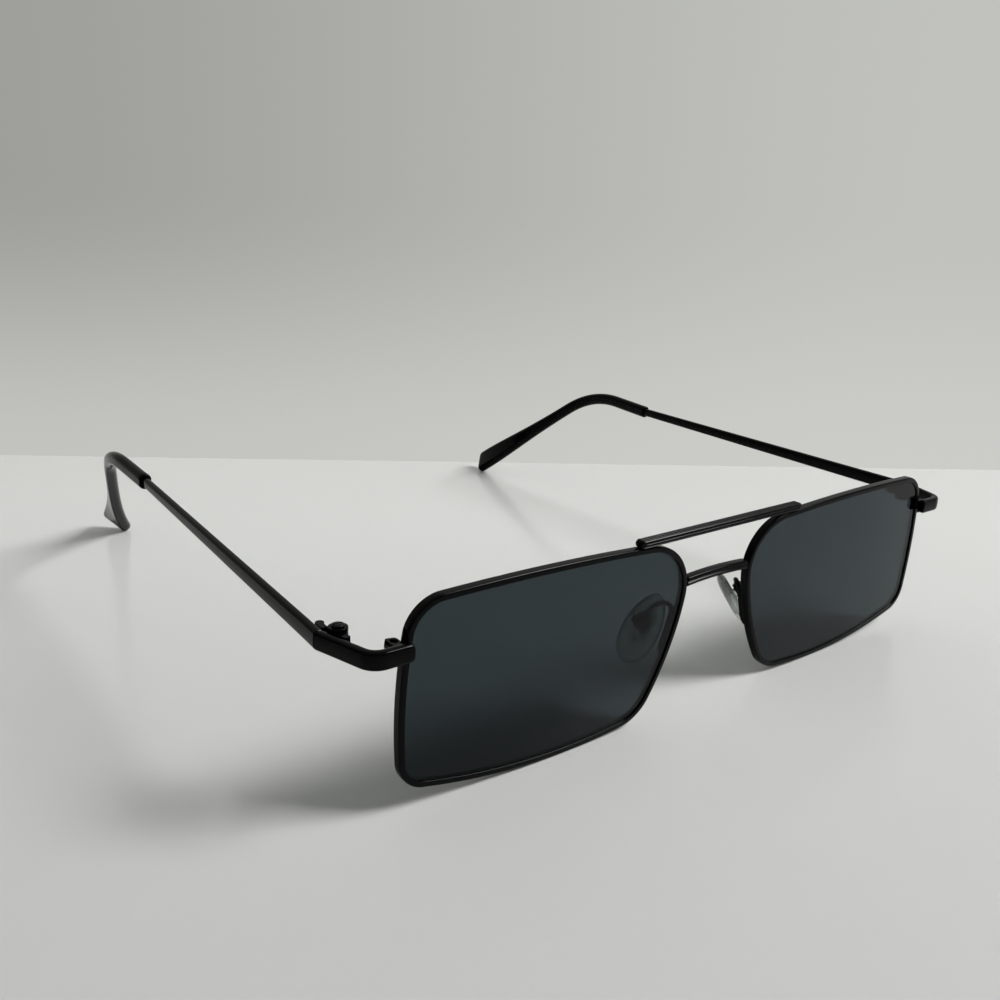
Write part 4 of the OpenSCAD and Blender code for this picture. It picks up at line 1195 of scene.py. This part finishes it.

# %% [markdown]
# The setting is a pale glossy table that meets a pale wall just behind the far tip. The
# table's colour carries painted light: it is lightest beside the wall and a little darker
# towards the camera, a painted pool of light. The wall is a backdrop: for what the camera
# sees, directly, mirrored or through a lens, it glows with a painted shade that is lightest
# above the table and on the right, and to all other rays it is plain matt paint, so it adds
# no light. From behind it isn't there at all, like a theatre flat, so that a view from
# behind still shows the object. The table's satin coat mirrors at a low slant and hardly
# when seen steeply, so the window glares less in it.

# %% Table and wall
TABLE_SIZE = 3.0
WALL_FOOT = Vector((0.0672, 0.0754, 0))
WALL_WAY = Vector((0.8345, -0.5510, 0))
WALL_LENGTH, WALL_HEIGHT = 2.4, 0.9
ACROSS_LEFT, ACROSS_RIGHT, SHADE_HEIGHT = -0.16, 0.16, 0.085
TABLE_NEAR, TABLE_FAR = -0.15, 0.06
SLANT_STEEP, SLANT_LOW = 0.45, 0.7
SHEEN_STEEP, SHEEN_LOW = 0.06, 0.5
TABLE_WARMTH, WALL_WARMTH = 0.015, 0.045
# The table tones are painted light and the wall's high and low tones are its painted shade;
# WALL_PAINT is the wall's own matt paint.
TABLE_NEAR_PAINTED_SHADE, TABLE_FAR_PAINTED_LIGHT = 0.52, (0.77, 0.65)
WALL_PAINT, WALL_HIGH_PAINTED_SHADE, WALL_LOW_PAINTED_SHADE = 0.8, (0.34, 0.53), (0.54, 0.60)


def add_sheet(name, corners, material):
    mesh = bpy.data.meshes.new(name)
    mesh.from_pydata([tuple(c) for c in corners], [], [(0, 1, 2, 3)])
    mesh.materials.append(material)
    sheet = bpy.data.objects.new(name, mesh)
    bpy.context.scene.collection.objects.link(sheet)


def shaded(material, way, start, stop, colours):
    """A painted shade: a colour that changes along a direction of the sheet, between two distances
    in metres.
    """
    n = add_nodes(material, spot="TexCoord", along="VectorMath", share="MapRange", tone="Mix")
    n["along"].operation = "DOT_PRODUCT"
    n["along"].inputs[1].default_value = way
    n["share"].interpolation_type = "SMOOTHSTEP"
    n["tone"].data_type = "RGBA"
    dial(n["share"], From_Min=start, From_Max=stop)
    wire(material,
         (n["spot"], "Object", n["along"], 0),
         (n["along"], "Value", n["share"], "Value"),
         (n["share"], "Result", n["tone"], "Factor"))
    for socket, colour in zip([s for s in n["tone"].inputs if s.type == "RGBA"], colours):
        if isinstance(colour, tuple):
            socket.default_value = (*colour, 1)
        else:
            material.node_tree.links.new(colour, socket)
    return [s for s in n["tone"].outputs if s.type == "RGBA"][0]


def greys(tones, warmth):
    """Faintly green greys of the setting, from lightnesses between 0 and 1."""
    return [(tone, tone * (1 + warmth / 4), tone * (1 - warmth)) for tone in tones]


def wall_backdrop():
    paint = finish("wall_paint_and_painted_shade", greys([WALL_PAINT], WALL_WARMTH)[0], roughness=(0.7, 0.9),
                   grain=60.0, bump=0.05)
    up, across = (0, 0, 1), tuple(WALL_WAY)
    # Painted shade: the glow's colour is lighter low down above the table and lighter on the right,
    # as the window and the table's bounce would light the wall.
    high, low = (shaded(paint, across, ACROSS_LEFT, ACROSS_RIGHT, greys(tones, WALL_WARMTH))
                 for tones in (WALL_HIGH_PAINTED_SHADE, WALL_LOW_PAINTED_SHADE))
    tone = shaded(paint, up, 0.0, SHADE_HEIGHT, [low, high])
    n = add_nodes(paint, side="NewGeometry", clear="BsdfTransparent", choose="MixShader",
                  ray="LightPath", glow="Emission", mirror="Math", glass="Math", seen="MixShader")
    n["mirror"].operation = n["glass"].operation = "MAXIMUM"
    paint.node_tree.links.new(tone, n["glow"].inputs["Color"])
    nodes = paint.node_tree.nodes
    wire(paint,
         (n["ray"], "Is Camera Ray", n["mirror"], 0),
         (n["ray"], "Is Glossy Ray", n["mirror"], 1),
         (n["mirror"], "Value", n["glass"], 0),
         (n["ray"], "Is Transmission Ray", n["glass"], 1),
         (n["glass"], "Value", n["seen"], "Fac"),
         (nodes["Principled BSDF"], "BSDF", n["seen"], 1),
         (n["glow"], "Emission", n["seen"], 2),
         (n["side"], "Backfacing", n["choose"], "Fac"),
         (n["seen"], "Shader", n["choose"], 1),
         (n["clear"], "BSDF", n["choose"], 2),
         (n["choose"], "Shader", nodes["Material Output"], "Surface"))
    return paint


def table_gloss():
    # Painted light: the base colour is lighter far away beside the wall, lighter there on the left,
    # and darker towards the camera.
    near, *far_painted_light = greys([TABLE_NEAR_PAINTED_SHADE, *TABLE_FAR_PAINTED_LIGHT], TABLE_WARMTH)
    top = finish("table_top", near, roughness=(0.13, 0.2), grain=40.0, bump=0.03,
                 bump_depth=0.00002, IOR=1.5)
    away, across = tuple(Vector((0, 0, 1)).cross(WALL_WAY)), tuple(WALL_WAY)
    far = shaded(top, across, ACROSS_LEFT, ACROSS_RIGHT, far_painted_light)
    tone = shaded(top, away, TABLE_NEAR, TABLE_FAR, [near, far])
    shader = top.node_tree.nodes["Principled BSDF"]
    top.node_tree.links.new(tone, shader.inputs["Base Color"])
    n = add_nodes(top, slant="LayerWeight", sheen="MapRange")
    dial(n["sheen"], From_Min=SLANT_STEEP, From_Max=SLANT_LOW, To_Min=SHEEN_STEEP, To_Max=SHEEN_LOW)
    wire(top, (n["slant"], "Facing", n["sheen"], "Value"),
         (n["sheen"], "Result", shader, "Specular IOR Level"))
    return top


half = TABLE_SIZE / 2
corners = [(-half, -half, 0), (half, -half, 0), (half, half, 0), (-half, half, 0)]
add_sheet("table", corners, table_gloss())
left, right = (WALL_FOOT + WALL_WAY * s * WALL_LENGTH / 2 for s in (-1, 1))
rise = Vector((0, 0, WALL_HEIGHT))
add_sheet("wall", [left, right, right + rise, left + rise], wall_backdrop())
print("the wall runs along", [round(x, 2) for x in WALL_WAY])

# %% [markdown]
# One soft window stands to the right of the camera, about 43 degrees above the table, as the
# shadows of the near lens and the near tip tell. The rest of the room is
# bright overhead and dark at the height of the eye, as a room is behind a photographer.
# That is what leaves the upright faces of the black frame nearly black.

# %% Light
WINDOW_WAY = Vector((0.578, -0.448, 0.682)).normalized()
WINDOW_DISTANCE = 1.6
WINDOW_SIZE = 0.6
WINDOW_WATTS = 31.0
ROOM_HIGH, ROOM_LOW = 0.30, 0.03
LOW_LEVEL, HIGH_LEVEL = 0.05, 0.8
ROOM_COLOUR = (0.98, 1.0, 0.98, 1)


def add_window():
    data = bpy.data.lights.new("window", "AREA")
    data.shape = "SQUARE"
    data.size = WINDOW_SIZE
    data.energy = WINDOW_WATTS
    window = bpy.data.objects.new("window", data)
    bpy.context.scene.collection.objects.link(window)
    window.location = WINDOW_WAY * WINDOW_DISTANCE
    window.rotation_euler = WINDOW_WAY.to_track_quat("Z", "Y").to_euler()


def light_room():
    """A room whose brightness rises from the level of the table to the ceiling."""
    world = bpy.data.worlds.new("room")
    world.use_nodes = True
    bpy.context.scene.world = world
    n = add_nodes(world, way="TexCoord", parts="SeparateXYZ", level="MapRange")
    sky = world.node_tree.nodes["Background"]
    dial(sky, Color=ROOM_COLOUR)
    dial(n["level"], From_Min=LOW_LEVEL, From_Max=HIGH_LEVEL, To_Min=ROOM_LOW, To_Max=ROOM_HIGH)
    wire(world, (n["way"], "Generated", n["parts"], "Vector"),
         (n["parts"], "Z", n["level"], "Value"),
         (n["level"], "Result", sky, "Strength"))


add_window()
light_room()
print("window at", [round(x, 2) for x in WINDOW_WAY * WINDOW_DISTANCE], "m")
